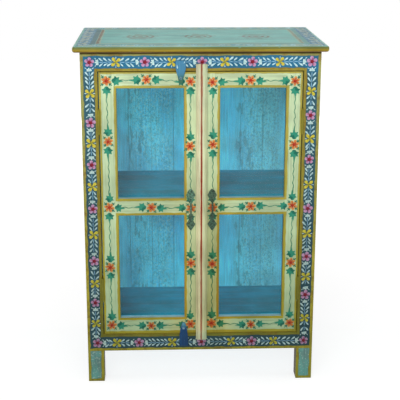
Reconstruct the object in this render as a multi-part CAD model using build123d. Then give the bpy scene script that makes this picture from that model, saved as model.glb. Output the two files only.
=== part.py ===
"""Painted glazed cabinet: a post-and-rail case on four legs, a shelf, two framed glass doors on
butt hinges, iron bow handles and two wooden turn buttons. Millimetres, +Z up, front towards -Y."""
import os

from build123d import *

# ---- case ----
case_width = 720.0
case_depth = 475.0
case_height = 1061.5            # floor to the underside of the top boards
post_size = 51.0
rail_bottom = 105.5             # height of the lower rails above the floor
bottom_rail_height = 56.5
top_rail_height = 57.5
tenon_length = 20.0
tenon_thickness = 9.0
tenon_shoulder = 10.0           # rail height left above and below each tenon
tenon_setback = 7.0             # tenon face behind the face that shows
joint_clearance = 0.2
arris = 1.0                     # chamfer that takes the sharpness off a planed edge

# ---- top ----
top_side_overhang = 21.0
top_thickness = 18.0
top_front_overhang = 17.0
top_back_overhang = 16.0
top_board_count = 3
top_edge_radius = 7.0
top_corner_radius = 9.0
board_gap = 0.6

# ---- sides, back, shelf and floor ----
panel_thickness = 8.0
panel_setback = 6.0
panel_groove_depth = 8.0
panel_clearance = 0.4
plank_thickness = 12.0
plank_count = 8
plank_gap = 0.8
plank_chamfer = 1.6
shelf_above_rail = 33.5         # shelf surface above the doors' middle rail's lower edge
shelf_thickness = 18.0
shelf_front = 34.0
floor_below_rail = 3.0          # floor surface below the lower rail's top edge
floor_thickness = 16.0
batten_height = 20.0
batten_thickness = 14.0
stop_height = 15.0
stop_thickness = 12.0
stop_lap = 12.0                 # how far the upper stop reaches below its rail
fit_clearance = 0.4             # shelf, floor and planks in their places

# ---- doors ----
door_thickness = 26.0
hinge_gap = 3.0                 # between post and door edge, filled by the hinge leaves
door_top_gap = 2.5
door_bottom_gap = 3.0
meeting_x = 1.5                 # where the doors meet, a little right of the middle
meeting_gap = 2.0
left_hinge_stile = 52.0
right_hinge_stile = 48.0
left_meeting_stile = 51.5
right_meeting_stile = 55.5
door_top_rail = 48.5
door_middle_rail = 54.5
door_middle_bottom = 556.5      # height of the middle rail's lower edge
door_bottom_rail = 53.0
door_tenon_length = 26.0
door_tenon_thickness = 8.0
sight_chamfer = 1.5
glass_setback = 18.0
glass_thickness = 3.0
rebate_width = 8.0
bead_width = 7.0
glass_clearance = 0.6
stop_clearance = 0.3            # between a shut door and its stop

# ---- meeting beads ----
bead_left_reach = 16.5          # from the meeting line to the left bead's outer edge
bead_right_reach = 17.7
bead_depth = 12.0
bead_split = 0.6
bead_top_lap = 22.0             # how far the beads reach up over the upper rail
bead_bottom_lap = 17.0
bead_round = 4.0
bead_groove = 2.2               # chamfer along the meeting line
quirk_from_edge = 5.5
quirk_depth = 1.6

# ---- hinges ----
hinge_length = 76.0
upper_hinge_drop = 150.5        # door's top edge to the middle of the hinge
lower_hinge_rise = 149.0
knuckle_count = 5
knuckle_radius = 4.0
knuckle_gap = 0.3
knuckle_stand_off = 0.2         # between a knuckle and the face behind it
leaf_width = 22.0
leaf_thickness = 1.4
leaf_edge_clearance = 0.4
pin_radius = 1.7
pin_clearance = 0.06
pin_head_radius = 3.0
pin_head_height = 1.4
screws_per_leaf = 3
screw_radius = 1.6
screw_head_radius = 3.1
screw_length = 16.0
screw_clearance = 0.1

# ---- handles ----
handle_drop = 37.3              # middle rail's upper edge to the middle of the handle
left_handle_offset = 16.2       # bead's outer edge to the middle of the handle
right_handle_offset = 16.0
handle_height = 132.0
handle_half_width = 14.4
handle_plate = 2.6
handle_neck = 3.6
bow_top = 32.0                  # above the handle's middle
bow_bottom = -21.0
bow_reach = 25.0
bow_radius = 2.9
nail_radius = 1.3
nail_head_radius = 3.2
nail_head_height = 1.7
nail_length = 15.0
nail_clearance = 0.1
upper_nail = 58.0               # above the handle's middle
lower_nail = -47.0

# ---- turn buttons ----
button_thickness = 9.0
button_clearance = 0.4
button_tip_width = 10.0
button_edge_round = 1.2
upper_button_offset = 62.3      # meeting line to the pivot
upper_button_drop = 17.5        # door's top edge to the pivot
upper_button_reach = 53.0       # pivot to the wide end
upper_button_width = 31.0
upper_button_neck = 16.0
lower_button_offset = 55.5
lower_button_rise = 20.0        # door's bottom edge to the pivot
lower_button_reach = 62.5
lower_button_width = 28.0
lower_button_neck = 19.0
button_tail = 16.0              # pivot to the narrow end
button_shoulder = 0.46          # where the taper starts, as a share of the reach
pivot_radius = 2.2
pivot_clearance = 0.06
pivot_head_radius = 4.4
pivot_head_height = 2.4
pivot_depth = 14.0

# ---- worked out from the sizes above ----
half_width = case_width / 2
post_inner = half_width - post_size
rail_thickness = door_thickness + stop_clearance
rail_top = case_height - top_rail_height
bottom_rail_top = rail_bottom + bottom_rail_height
panel_outer = half_width - panel_setback
panel_inner = panel_outer - panel_thickness
back_rail_front = case_depth - rail_thickness
plank_front = back_rail_front - plank_thickness
door_bottom = bottom_rail_top + door_bottom_gap
door_top = rail_top - door_top_gap
door_edge = post_inner - hinge_gap
hinge_x = post_inner - hinge_gap / 2
hinge_y = -(knuckle_radius + knuckle_stand_off)
upper_pane_bottom = door_middle_bottom + door_middle_rail
upper_pane_top = door_top - door_top_rail
lower_pane_bottom = door_bottom + door_bottom_rail
lower_pane_top = door_middle_bottom
shelf_top = door_middle_bottom + shelf_above_rail
floor_top = bottom_rail_top - floor_below_rail
bead_top = rail_top + bead_top_lap
bead_bottom = bottom_rail_top - bead_bottom_lap
upper_hinge_z = door_top - upper_hinge_drop
lower_hinge_z = door_bottom + lower_hinge_rise
handle_z = upper_pane_bottom - handle_drop
handle_left_x = meeting_x - bead_left_reach - left_handle_offset
handle_right_x = meeting_x + bead_right_reach + right_handle_offset
upper_button_x = meeting_x - upper_button_offset
upper_button_z = door_top - upper_button_drop
lower_button_x = meeting_x - lower_button_offset
lower_button_z = door_bottom + lower_button_rise
top_width = case_width + 2 * top_side_overhang
front_reach = bow_reach + bow_radius
origin_y = (case_depth + top_back_overhang - front_reach) / 2   # middle of the overall depth
overcut = 5.0                   # how far a cutting tool runs past the face it opens


def block(x_range, y_range, z_range):
    """A box from its lowest to its highest coordinate along each axis."""
    size = [high - low for low, high in (x_range, y_range, z_range)]
    middle = [(high + low) / 2 for low, high in (x_range, y_range, z_range)]
    return Pos(*middle) * Box(*size)


def rod(centre, radius, length, axis):
    """A cylinder that starts at centre and runs along axis."""
    plane = Plane(origin=centre, z_dir=axis)
    return plane * Cylinder(radius, length, align=(Align.CENTER, Align.CENTER, Align.MIN))


def mirrored(values, side):
    """An X range on the given side of the middle, lowest value first."""
    return tuple(sorted(side * value for value in values))


def ease(solid, direction, at, axis, amount):
    """Chamfer the long edges that lie on one face of a straight member."""
    face_edges = solid.edges().filter_by(axis).filter_by_position(direction, at - 0.01, at + 0.01)
    return chamfer(face_edges, amount)


def save(name, *solids):
    """Write one sub-part, moved so that the origin is under the middle of the whole cabinet."""
    placed = [Pos(0, -origin_y, 0) * solid for solid in solids]
    shape = placed[0] if len(placed) == 1 else Compound(children=placed)
    export_step(shape, f"parts/{name}.step")


# ---------------------------------------------------------------- case

def side_tenon_x(side, grow=0.0):
    """X range of the tenons on the side rails."""
    outer = half_width - tenon_setback
    return mirrored((outer - tenon_thickness - grow, outer + grow), side)


def front_tenon_y(grow=0.0):
    """Y range of the tenons on the front rails."""
    return (tenon_setback - grow, tenon_setback + tenon_thickness + grow)


def back_tenon_y(grow=0.0):
    """Y range of the tenons on the back rails."""
    outer = case_depth - tenon_setback
    return (outer - tenon_thickness - grow, outer + grow)


def tenon_z(low, high, grow=0.0):
    """Z range of a tenon on a rail between two heights."""
    return (low + tenon_shoulder - grow, high - tenon_shoulder + grow)


rail_levels = {
    "top": (rail_top, case_height),
    "bottom": (rail_bottom, bottom_rail_top),
}


def screw_heights(hinge_z):
    """Heights of the screws in one hinge leaf."""
    pitch = hinge_length / screws_per_leaf
    return [hinge_z + pitch * (index - (screws_per_leaf - 1) / 2) for index in range(screws_per_leaf)]


def screw_y():
    """Depth of the hinge screws behind the front face, at the middle of the leaf."""
    return leaf_width / 2 + leaf_edge_clearance


def screw_holes(face_x, direction):
    """Pilot holes for both hinges' screws, from a face at face_x along the given X direction."""
    holes = []
    for hinge_z in (upper_hinge_z, lower_hinge_z):
        for height in screw_heights(hinge_z):
            start = (face_x - direction * leaf_thickness, screw_y(), height)
            length = screw_length + screw_clearance
            holes.append(rod(start, screw_radius + screw_clearance, length, (direction, 0, 0)))
    return holes


def post(side, back):
    """One leg post, with its foot, mortises, panel groove and, in front, hinge screw holes."""
    x_range = mirrored((post_inner, half_width), side)
    y_range = (case_depth - post_size, case_depth) if back else (0, post_size)
    body = block(x_range, y_range, (0, case_height))
    body = chamfer(body.edges().filter_by(Axis.Z) + body.faces().sort_by(Axis.Z)[0].edges(), arris)
    grow = joint_clearance
    facing_y = back_tenon_y(grow) if back else front_tenon_y(grow)
    facing_x = mirrored((post_inner - overcut, post_inner + tenon_length + grow), side)
    side_y = y_range[0] - overcut if back else y_range[1] + overcut
    mortise_end = y_range[0] + tenon_length + grow if back else y_range[1] - tenon_length - grow
    groove_end = y_range[0] + panel_groove_depth if back else y_range[1] - panel_groove_depth
    for low, high in rail_levels.values():
        body -= block(facing_x, facing_y, tenon_z(low, high, grow))
        side_range = tuple(sorted((side_y, mortise_end)))
        body -= block(side_tenon_x(side, grow), side_range, tenon_z(low, high, grow))
    groove_x = mirrored((panel_inner - panel_clearance / 2, panel_outer + panel_clearance / 2), side)
    groove_z = (bottom_rail_top - panel_groove_depth, rail_top + panel_groove_depth)
    body -= block(groove_x, tuple(sorted((side_y, groove_end))), groove_z)
    if not back:
        for hole in screw_holes(side * post_inner, side):
            body -= hole
    return body


def cross_rail(level, back):
    """A front or back rail between two posts, with a stub tenon at each end."""
    low, high = rail_levels[level]
    y_range = (back_rail_front, case_depth) if back else (0, rail_thickness)
    shown = case_depth if back else 0
    body = block((-post_inner, post_inner), y_range, (low, high))
    body = ease(body, Axis.Y, shown, Axis.X, arris)
    tenon_y = back_tenon_y() if back else front_tenon_y()
    reach = post_inner + tenon_length
    return body + block((-reach, reach), tenon_y, tenon_z(low, high))


def side_rail(level, side):
    """A side rail between front and back posts, grooved along the edge that holds the panel."""
    low, high = rail_levels[level]
    x_range = mirrored((half_width - rail_thickness, half_width), side)
    body = block(x_range, (post_size, case_depth - post_size), (low, high))
    body = ease(body, Axis.X, side * half_width, Axis.Y, arris)
    reach = (post_size - tenon_length, case_depth - post_size + tenon_length)
    body += block(side_tenon_x(side), reach, tenon_z(low, high))
    groove_x = mirrored((panel_inner - panel_clearance / 2, panel_outer + panel_clearance / 2), side)
    if level == "top":
        groove_z = (low - overcut, low + panel_groove_depth)
    else:
        groove_z = (high - panel_groove_depth, high + overcut)
    return body - block(groove_x, (post_size, case_depth - post_size), groove_z)


def side_panel(side):
    """The thin panel held in the grooves of two posts and two rails."""
    edge = panel_groove_depth - panel_clearance
    y_range = (post_size - edge, case_depth - post_size + edge)
    z_range = (bottom_rail_top - edge, rail_top + edge)
    return block(mirrored((panel_inner, panel_outer), side), y_range, z_range)


def back_planks():
    """Upright planks side by side, nailed to the inside of the back rails."""
    span = 2 * (post_inner - fit_clearance)
    width = (span - plank_gap * (plank_count - 1)) / plank_count
    planks = []
    for index in range(plank_count):
        left = -span / 2 + index * (width + plank_gap)
        plank = block((left, left + width), (plank_front, back_rail_front), (rail_bottom, case_height))
        planks.append(ease(plank, Axis.Y, plank_front, Axis.Z, plank_chamfer))
    return planks


def inner_board(low, high, front):
    """A level board from one side panel to the other, notched round the four posts."""
    reach = half_width - rail_thickness - fit_clearance
    board = block((-reach, reach), (front, plank_front - fit_clearance), (low, high))
    notch_x = post_inner - fit_clearance
    back_notch = case_depth - post_size - fit_clearance
    for side in (-1, 1):
        outer = mirrored((notch_x, reach + overcut), side)
        board -= block(outer, (front - overcut, post_size + fit_clearance), (low - overcut, high + overcut))
        board -= block(outer, (back_notch, plank_front + overcut), (low - overcut, high + overcut))
    return board


def shelf_batten(side):
    """The bar across one front and one back post that carries an end of the shelf."""
    x_range = mirrored((post_inner - batten_thickness, post_inner), side)
    top = shelf_top - shelf_thickness
    return block(x_range, (shelf_front, plank_front - fit_clearance), (top - batten_height, top))


def floor_batten(side):
    """The bar along one side rail that carries an end of the floor board."""
    inner = half_width - rail_thickness
    x_range = mirrored((inner - batten_thickness, inner), side)
    top = floor_top - floor_thickness
    y_range = (post_size + fit_clearance, case_depth - post_size - fit_clearance)
    return block(x_range, y_range, (top - batten_height, top))


def door_stop(level):
    """The strip behind the doors that they close against."""
    y_range = (rail_thickness, rail_thickness + stop_thickness)
    reach = post_inner - fit_clearance
    if level == "top":
        z_range = (rail_top - stop_lap, rail_top + stop_height)
    else:
        z_range = (floor_top, floor_top + stop_height)
    stop = block((-reach, reach), y_range, z_range)
    return ease(stop, Axis.Y, rail_thickness, Axis.X, arris)


def top_boards():
    """The boards of the top, from front to back, rounded along the outside edges only."""
    y_range = (-top_front_overhang, case_depth + top_back_overhang)
    z_range = (case_height, case_height + top_thickness)
    slab = block((-top_width / 2, top_width / 2), y_range, z_range)
    slab = fillet(slab.edges().filter_by(Axis.Z), top_corner_radius)
    rims = slab.faces().sort_by(Axis.Z)
    slab = fillet(rims[0].edges() + rims[-1].edges(), top_edge_radius)
    depth = (y_range[1] - y_range[0]) / top_board_count
    boards = []
    for index in range(top_board_count):
        front = y_range[0] + index * depth
        low = front + board_gap / 2 if index else front - overcut
        high = front + depth + (overcut if index == top_board_count - 1 else -board_gap / 2)
        boards.append(slab & block((-top_width, top_width), (low, high), z_range))
    return boards


# ---------------------------------------------------------------- hinges

def knuckle_spans(hinge_z, first):
    """Z ranges of every other knuckle of one hinge, starting from the given one."""
    pitch = hinge_length / knuckle_count
    low = hinge_z - hinge_length / 2
    spans = []
    for index in range(first, knuckle_count, 2):
        spans.append((low + index * pitch + knuckle_gap / 2, low + (index + 1) * pitch - knuckle_gap / 2))
    return spans


def hinge_leaf(side, hinge_z, fixed):
    """One leaf of a butt hinge: plate, knuckles and countersunk holes."""
    if fixed:
        plate_x = (post_inner - leaf_thickness, post_inner)
    else:
        plate_x = (door_edge, door_edge + leaf_thickness)
    z_range = (hinge_z - hinge_length / 2, hinge_z + hinge_length / 2)
    plate_y = (leaf_edge_clearance, leaf_edge_clearance + leaf_width)
    leaf = block(mirrored(plate_x, side), plate_y, z_range)
    centre = (side * hinge_x, hinge_y)
    spans = knuckle_spans(hinge_z, 0 if fixed else 1)
    for low, high in spans:
        leaf += rod((*centre, low), knuckle_radius, high - low, (0, 0, 1))
        leaf += block(mirrored(plate_x, side), (hinge_y / 2, leaf_edge_clearance + arris), (low, high))
    bore_length = hinge_length + 2 * overcut
    leaf -= rod((*centre, z_range[0] - overcut), pin_radius + pin_clearance, bore_length, (0, 0, 1))
    direction = side if fixed else -side
    open_face = plate_x[0] if fixed else plate_x[1]
    for height in screw_heights(hinge_z):
        leaf -= screw(side * open_face, height, direction, screw_clearance)
    return leaf


def screw(face_x, height, direction, grow=0.0):
    """A countersunk screw driven from face_x along the given X direction."""
    plane = Plane(origin=(face_x, screw_y(), height), z_dir=(direction, 0, 0))
    low = (Align.CENTER, Align.CENTER, Align.MIN)
    head = plane * Cone(screw_head_radius + grow, screw_radius + grow, leaf_thickness, align=low)
    return head + plane * Cylinder(screw_radius + grow, screw_length, align=low)


def hinge_screws(side, fixed):
    """The screws of both hinges on one side, into the post or into the door."""
    if fixed:
        face = post_inner - leaf_thickness
        direction = side
    else:
        face = door_edge + leaf_thickness
        direction = -side
    return [
        screw(side * face, height, direction)
        for hinge_z in (upper_hinge_z, lower_hinge_z)
        for height in screw_heights(hinge_z)
    ]


def hinge_pin(side, hinge_z):
    """The loose pin of one hinge, with a flat head at each end."""
    low = hinge_z - hinge_length / 2
    centre = (side * hinge_x, hinge_y)
    start = low - pin_head_height
    pin = rod((*centre, start), pin_radius, hinge_length + 2 * pin_head_height, (0, 0, 1))
    for height in (start, low + hinge_length):
        head = rod((*centre, height), pin_head_radius, pin_head_height, (0, 0, 1))
        pin += chamfer(head.edges(), pin_head_height / 3)
    return pin


# ---------------------------------------------------------------- doors

doors = {
    "left": {"side": -1, "hinge_stile": left_hinge_stile, "meeting_stile": left_meeting_stile},
    "right": {"side": 1, "hinge_stile": right_hinge_stile, "meeting_stile": right_meeting_stile},
}
panes = {
    "upper": (upper_pane_bottom, upper_pane_top),
    "lower": (lower_pane_bottom, lower_pane_top),
}
door_rails = {
    "top": (upper_pane_top, door_top),
    "middle": (door_middle_bottom, upper_pane_bottom),
    "bottom": (door_bottom, lower_pane_bottom),
}


def meeting_edge(side):
    """X of a door's free edge."""
    return meeting_x + side * meeting_gap / 2


def sight_x(door):
    """The two X places of a door's glass openings: at the hinge stile and at the meeting stile."""
    side = door["side"]
    return side * (door_edge - door["hinge_stile"]), meeting_edge(side) + side * door["meeting_stile"]


def pane_block(door, z_range, y_range, grow):
    """A block over one glass opening, grown past the opening's edges."""
    low, high = sorted(sight_x(door))
    return block((low - grow, high + grow), y_range, (z_range[0] - grow, z_range[1] + grow))


def rebates(door):
    """The recesses in the back of a door frame that the glass lies in."""
    y_range = (glass_setback, door_thickness + overcut)
    return [pane_block(door, z_range, y_range, rebate_width) for z_range in panes.values()]


def door_tenon_y(grow=0.0):
    """Y range of the tenons on the door rails."""
    middle = glass_setback / 2
    return (middle - door_tenon_thickness / 2 - grow, middle + door_tenon_thickness / 2 + grow)


def stile(door, at_hinge):
    """An upright of a door frame, mortised for the three rails."""
    side = door["side"]
    hinge_sight, meeting_sight = sight_x(door)
    if at_hinge:
        sight = hinge_sight
        outer = side * door_edge
    else:
        sight = meeting_sight
        outer = meeting_edge(side)
    into = 1 if outer > sight else -1
    body = block(tuple(sorted((sight, outer))), (0, door_thickness), (door_bottom, door_top))
    front = body.edges().filter_by(Axis.Z).filter_by_position(Axis.Y, -0.01, 0.01)
    body = chamfer(front.sort_by(Axis.X)[-1 if into > 0 else 0], arris)
    for z_range in panes.values():
        mouth = tuple(sorted((sight - into * overcut, sight + into * sight_chamfer)))
        body -= bevel_cut(mouth, z_range, into)
    for low, high in door_rails.values():
        grow = joint_clearance
        mouth = tuple(sorted((sight - into * overcut, sight + into * (door_tenon_length + grow))))
        body -= block(mouth, door_tenon_y(grow), tenon_z(low, high, grow))
    for rebate in rebates(door):
        body -= rebate
    if at_hinge:
        for hole in screw_holes(outer, -side):
            body -= hole
    else:
        for nail_z in (handle_z + upper_nail, handle_z + lower_nail):
            body -= nail_hole(side, nail_z)
    return body


def bevel_cut(x_range, z_range, into):
    """The slope planed along a sight edge; its point lies on the side that into names."""
    near, far = x_range if into > 0 else x_range[::-1]
    with BuildPart() as cut:
        with BuildSketch(Plane.XY.offset(z_range[0])):
            with BuildLine():
                Polyline((near, -overcut), (far, -overcut), (far, 0),
                         (far - into * sight_chamfer, sight_chamfer), (near, sight_chamfer), close=True)
            make_face()
        extrude(amount=z_range[1] - z_range[0])
    return cut.part


def nail_hole(side, nail_z):
    """The hole that a handle nail is driven into."""
    x = handle_left_x if side < 0 else handle_right_x
    return rod((x, -overcut, nail_z), nail_radius + nail_clearance, nail_length + overcut, (0, 1, 0))


def door_rail(door, level):
    """A cross member of a door frame, with a stub tenon at each end."""
    low, high = door_rails[level]
    left, right = sorted(sight_x(door))
    body = block((left, right), (0, door_thickness), (low, high))
    front = body.edges().filter_by(Axis.X).filter_by_position(Axis.Y, -0.01, 0.01).sort_by(Axis.Z)
    if level == "top":
        body = chamfer(front[0], sight_chamfer)
    elif level == "bottom":
        body = chamfer(front[-1], sight_chamfer)
    else:
        body = chamfer(front, sight_chamfer)
    for rebate in rebates(door):
        body -= rebate
    reach = (left - door_tenon_length, right + door_tenon_length)
    body += block(reach, door_tenon_y(), tenon_z(low, high))
    if door["side"] < 0:
        for x, z, _reach, _width, _neck, _up in turn_buttons.values():
            hole = rod((x, -overcut, z), pivot_radius + pivot_clearance, pivot_depth + overcut, (0, 1, 0))
            body -= hole
    return body


def glass_pane(door, z_range):
    """One sheet of glass, with room to move in its rebate."""
    y_range = (glass_setback, glass_setback + glass_thickness)
    return pane_block(door, z_range, y_range, rebate_width - glass_clearance)


def glazing_beads(door):
    """The four strips behind each sheet of glass."""
    y_range = (glass_setback + glass_thickness, door_thickness)
    low, high = sorted(sight_x(door))
    left = low - rebate_width
    right = high + rebate_width
    strips = []
    for bottom, top in panes.values():
        bottom -= rebate_width
        top += rebate_width
        strips.append(block((left, right), y_range, (bottom, bottom + bead_width)))
        strips.append(block((left, right), y_range, (top - bead_width, top)))
        upright = (bottom + bead_width, top - bead_width)
        strips.append(block((left, left + bead_width), y_range, upright))
        strips.append(block((right - bead_width, right), y_range, upright))
    return strips


def meeting_bead(side):
    """Half of the moulding that covers the join between the doors."""
    inner = meeting_x + side * bead_split / 2
    reach = bead_left_reach if side < 0 else bead_right_reach
    outer = meeting_x + side * reach
    quirk = outer - side * quirk_from_edge
    front = -bead_depth
    with BuildPart() as moulding:
        with BuildSketch(Plane.XY.offset(bead_bottom)):
            with BuildLine():
                Line((inner, 0), (outer, 0))
                Line((outer, 0), (outer, front + bead_round))
                Line((outer, front + bead_round), (outer - side * bead_round, front))
                Line((outer - side * bead_round, front), (quirk + side * quirk_depth / 2, front))
                Line((quirk + side * quirk_depth / 2, front), (quirk, front + quirk_depth))
                Line((quirk, front + quirk_depth), (quirk - side * quirk_depth, front))
                Line((quirk - side * quirk_depth, front), (inner + side * bead_groove, front))
                Line((inner + side * bead_groove, front), (inner, front + bead_groove))
                Line((inner, front + bead_groove), (inner, 0))
            make_face()
        extrude(amount=bead_top - bead_bottom)
    body = moulding.part
    corners = body.edges().filter_by(Axis.Z).filter_by_position(Axis.X, outer - 0.01, outer + 0.01)
    return fillet(corners.sort_by(Axis.Y)[0], bead_round / 2)


# ---------------------------------------------------------------- handles and turn buttons

def leaf_outline(sign, points):
    """A closed outline, symmetric about the middle, from half of its points."""
    left = [(-x, sign * z) for x, z in reversed(points)]
    return [(x, sign * z) for x, z in points] + left


def handle(x):
    """A forged bow handle: two flat leaves on the stile and a round bar between them."""
    tip = handle_height / 2
    wide = handle_half_width
    upper = [(handle_neck, bow_top - 6), (handle_neck * 1.7, bow_top),
             (wide, tip - 19), (wide * 0.62, tip - 7), (wide * 0.22, tip)]
    lower = [(handle_neck, -bow_bottom - 8), (wide * 0.6, -bow_bottom + 3),
             (handle_neck * 1.3, -bow_bottom + 9), (wide, tip - 20),
             (wide * 0.55, tip - 9), (wide * 0.12, tip)]
    with BuildPart() as plates:
        with BuildSketch(Plane.XZ):
            for points in (leaf_outline(1, upper), leaf_outline(-1, lower)):
                with BuildLine():
                    Polyline(*points, close=True)
                make_face()
        extrude(amount=handle_plate)
    middle = (bow_top + bow_bottom) / 2
    foot_y = -handle_plate / 2
    path = ThreePointArc((0, foot_y, bow_top), (0, -bow_reach, middle), (0, foot_y, bow_bottom))
    section = Plane(origin=path @ 0, z_dir=path % 0) * Circle(bow_radius)
    bow = sweep(section, path=path)
    bow -= block((-wide, wide), (0, overcut), (-tip, tip))
    forged = plates.part + bow
    for nail_z in (upper_nail, lower_nail):
        mouth = (0, -handle_plate - overcut, nail_z)
        forged -= rod(mouth, nail_radius + nail_clearance, handle_plate + 2 * overcut, (0, 1, 0))
    return Pos(x, 0, handle_z) * forged


def handle_nails(x):
    """The two round-headed nails of one handle."""
    nails = []
    for nail_z in (upper_nail, lower_nail):
        start = (x, -handle_plate, handle_z + nail_z)
        head = rod(start, nail_head_radius, nail_head_height, (0, -1, 0))
        rim = head.edges().sort_by(Axis.Y)[0]
        head = fillet(rim, nail_head_height * 0.8)
        nails.append(head + rod(start, nail_radius, nail_length, (0, 1, 0)))
    return nails


turn_buttons = {
    "upper": (upper_button_x, upper_button_z, upper_button_reach, upper_button_width, upper_button_neck, 1),
    "lower": (lower_button_x, lower_button_z, lower_button_reach, lower_button_width, lower_button_neck, -1),
}


def turn_button(x, z, reach, width, neck, up):
    """A whittled wooden button, wide over the case rail and narrow past its pivot."""
    shoulder = reach * (1 - button_shoulder)
    half = [(button_tip_width / 2, -button_tail), (neck / 2, 0), (width / 2, shoulder), (width / 2, reach)]
    with BuildPart() as button:
        with BuildSketch(Plane.XZ.offset(button_clearance)) as outline:
            with BuildLine():
                Polyline(*leaf_outline(up, half), close=True)
            make_face()
            fillet(outline.vertices(), button_tip_width * 0.3)
        extrude(amount=button_thickness)
        fillet(button.faces().sort_by(Axis.Y)[0].edges(), button_edge_round)
    hole = rod((0, -overcut * 4, 0), pivot_radius + pivot_clearance, overcut * 5, (0, 1, 0))
    return Pos(x, 0, z) * (button.part - hole)


def pivot_screw(x, z):
    """The screw that a turn button swings on."""
    seat = -(button_clearance + button_thickness + button_clearance / 2)
    head = rod((x, seat, z), pivot_head_radius, pivot_head_height, (0, -1, 0))
    head = fillet(head.edges().sort_by(Axis.Y)[0], pivot_head_height * 0.7)
    return head + rod((x, seat, z), pivot_radius, pivot_depth - seat, (0, 1, 0))


# ---------------------------------------------------------------- write the sub-parts

os.makedirs("parts", exist_ok=True)

side_names = {"left": -1, "right": 1}
for side_name, side in side_names.items():
    save(f"front_{side_name}_post", post(side, back=False))
    save(f"back_{side_name}_post", post(side, back=True))
    save(f"{side_name}_side_panel", side_panel(side))
    save(f"{side_name}_shelf_batten", shelf_batten(side))
    save(f"{side_name}_floor_batten", floor_batten(side))
    save(f"{side_name}_meeting_bead", meeting_bead(side))
    fixed_leaves = [hinge_leaf(side, hinge_z, fixed=True) for hinge_z in (upper_hinge_z, lower_hinge_z)]
    save(f"{side_name}_post_hinge_leaves", *fixed_leaves)
    door_leaves = [hinge_leaf(side, hinge_z, fixed=False) for hinge_z in (upper_hinge_z, lower_hinge_z)]
    save(f"{side_name}_door_hinge_leaves", *door_leaves)
    save(f"{side_name}_door_hinge_screws", *hinge_screws(side, fixed=False))
    for level in rail_levels:
        save(f"{side_name}_side_{level}_rail", side_rail(level, side))

for level in rail_levels:
    save(f"front_{level}_rail", cross_rail(level, back=False))
    save(f"back_{level}_rail", cross_rail(level, back=True))
    save(f"{level}_door_stop", door_stop(level))

save("back_planks", *back_planks())
save("middle_shelf", inner_board(shelf_top - shelf_thickness, shelf_top, shelf_front))
save("floor_board", inner_board(floor_top - floor_thickness, floor_top, rail_thickness + fit_clearance))
for place, board in zip(("front", "middle", "back"), top_boards()):
    save(f"{place}_top_board", board)

both_sides = [(side, hinge_z) for side in side_names.values() for hinge_z in (upper_hinge_z, lower_hinge_z)]
save("hinge_pins", *[hinge_pin(side, hinge_z) for side, hinge_z in both_sides])
save("post_hinge_screws", *[one for side in side_names.values() for one in hinge_screws(side, fixed=True)])

for door_name, door in doors.items():
    save(f"{door_name}_door_hinge_stile", stile(door, at_hinge=True))
    save(f"{door_name}_door_meeting_stile", stile(door, at_hinge=False))
    for level in door_rails:
        save(f"{door_name}_door_{level}_rail", door_rail(door, level))
    for pane_name, z_range in panes.items():
        save(f"{door_name}_door_{pane_name}_glass", glass_pane(door, z_range))
    save(f"{door_name}_door_glazing_beads", *glazing_beads(door))

for handle_name, handle_x in (("left", handle_left_x), ("right", handle_right_x)):
    save(f"{handle_name}_door_handle", handle(handle_x))
    save(f"{handle_name}_handle_nails", *handle_nails(handle_x))

for button_name, sizes in turn_buttons.items():
    save(f"{button_name}_turn_button", turn_button(*sizes))
save("turn_button_screws", *[pivot_screw(sizes[0], sizes[1]) for sizes in turn_buttons.values()])
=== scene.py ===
"""The looks of a painted, glazed cabinet: worn milk paint with ochre lines, folk flower borders in
raised brush marks, forged handles, old glass, and a pale studio. Some light and shade is painted
into the colours: most paints darken towards the floor, the top's rim, the turn buttons' edges and
the planks' seams carry painted shade, and the planks' sides carry painted light.

Meshes, lamps and the camera are in metres. Materials work in millimetres, and so do names that
end in _mm or _MM.
"""

import math
import random

import bmesh
import bpy
from mathutils import Matrix, Vector


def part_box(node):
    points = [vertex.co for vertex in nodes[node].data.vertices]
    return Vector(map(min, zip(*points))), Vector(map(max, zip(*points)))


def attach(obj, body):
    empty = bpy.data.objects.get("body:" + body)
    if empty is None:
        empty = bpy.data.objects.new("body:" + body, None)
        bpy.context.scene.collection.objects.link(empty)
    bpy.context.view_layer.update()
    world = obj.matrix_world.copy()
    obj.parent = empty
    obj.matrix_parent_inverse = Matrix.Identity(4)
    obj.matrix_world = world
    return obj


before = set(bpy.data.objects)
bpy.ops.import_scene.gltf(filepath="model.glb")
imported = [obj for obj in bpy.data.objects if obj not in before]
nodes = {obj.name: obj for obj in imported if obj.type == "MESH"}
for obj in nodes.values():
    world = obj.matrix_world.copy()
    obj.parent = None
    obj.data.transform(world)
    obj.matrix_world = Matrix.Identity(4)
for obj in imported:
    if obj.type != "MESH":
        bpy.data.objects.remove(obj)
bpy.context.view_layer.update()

MM = 0.001
dice = random.Random(7)          # every hand-drawn irregularity comes from here

# ------------------------------------------------------------------ sizes, read from the frame

front_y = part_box("front_top_rail")[0].y
case_back_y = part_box("back_top_rail")[1].y
case_middle_y = (front_y + case_back_y) / 2
planks_back_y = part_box("back_planks")[1].y
case_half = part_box("front_right_post")[1].x
opening_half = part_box("front_right_post")[0].x
side_half = case_back_y - case_middle_y
side_opening_half = side_half - (case_half - opening_half)
case_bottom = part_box("front_bottom_rail")[0].z
opening_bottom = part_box("front_bottom_rail")[1].z
opening_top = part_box("front_top_rail")[0].z
case_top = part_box("front_top_rail")[1].z
top_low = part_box("front_top_board")[0]
top_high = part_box("back_top_board")[1]
bead_left_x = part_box("left_meeting_bead")[0].x
bead_right_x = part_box("right_meeting_bead")[1].x
meeting_x = (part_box("left_meeting_bead")[1].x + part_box("right_meeting_bead")[0].x) / 2


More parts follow.
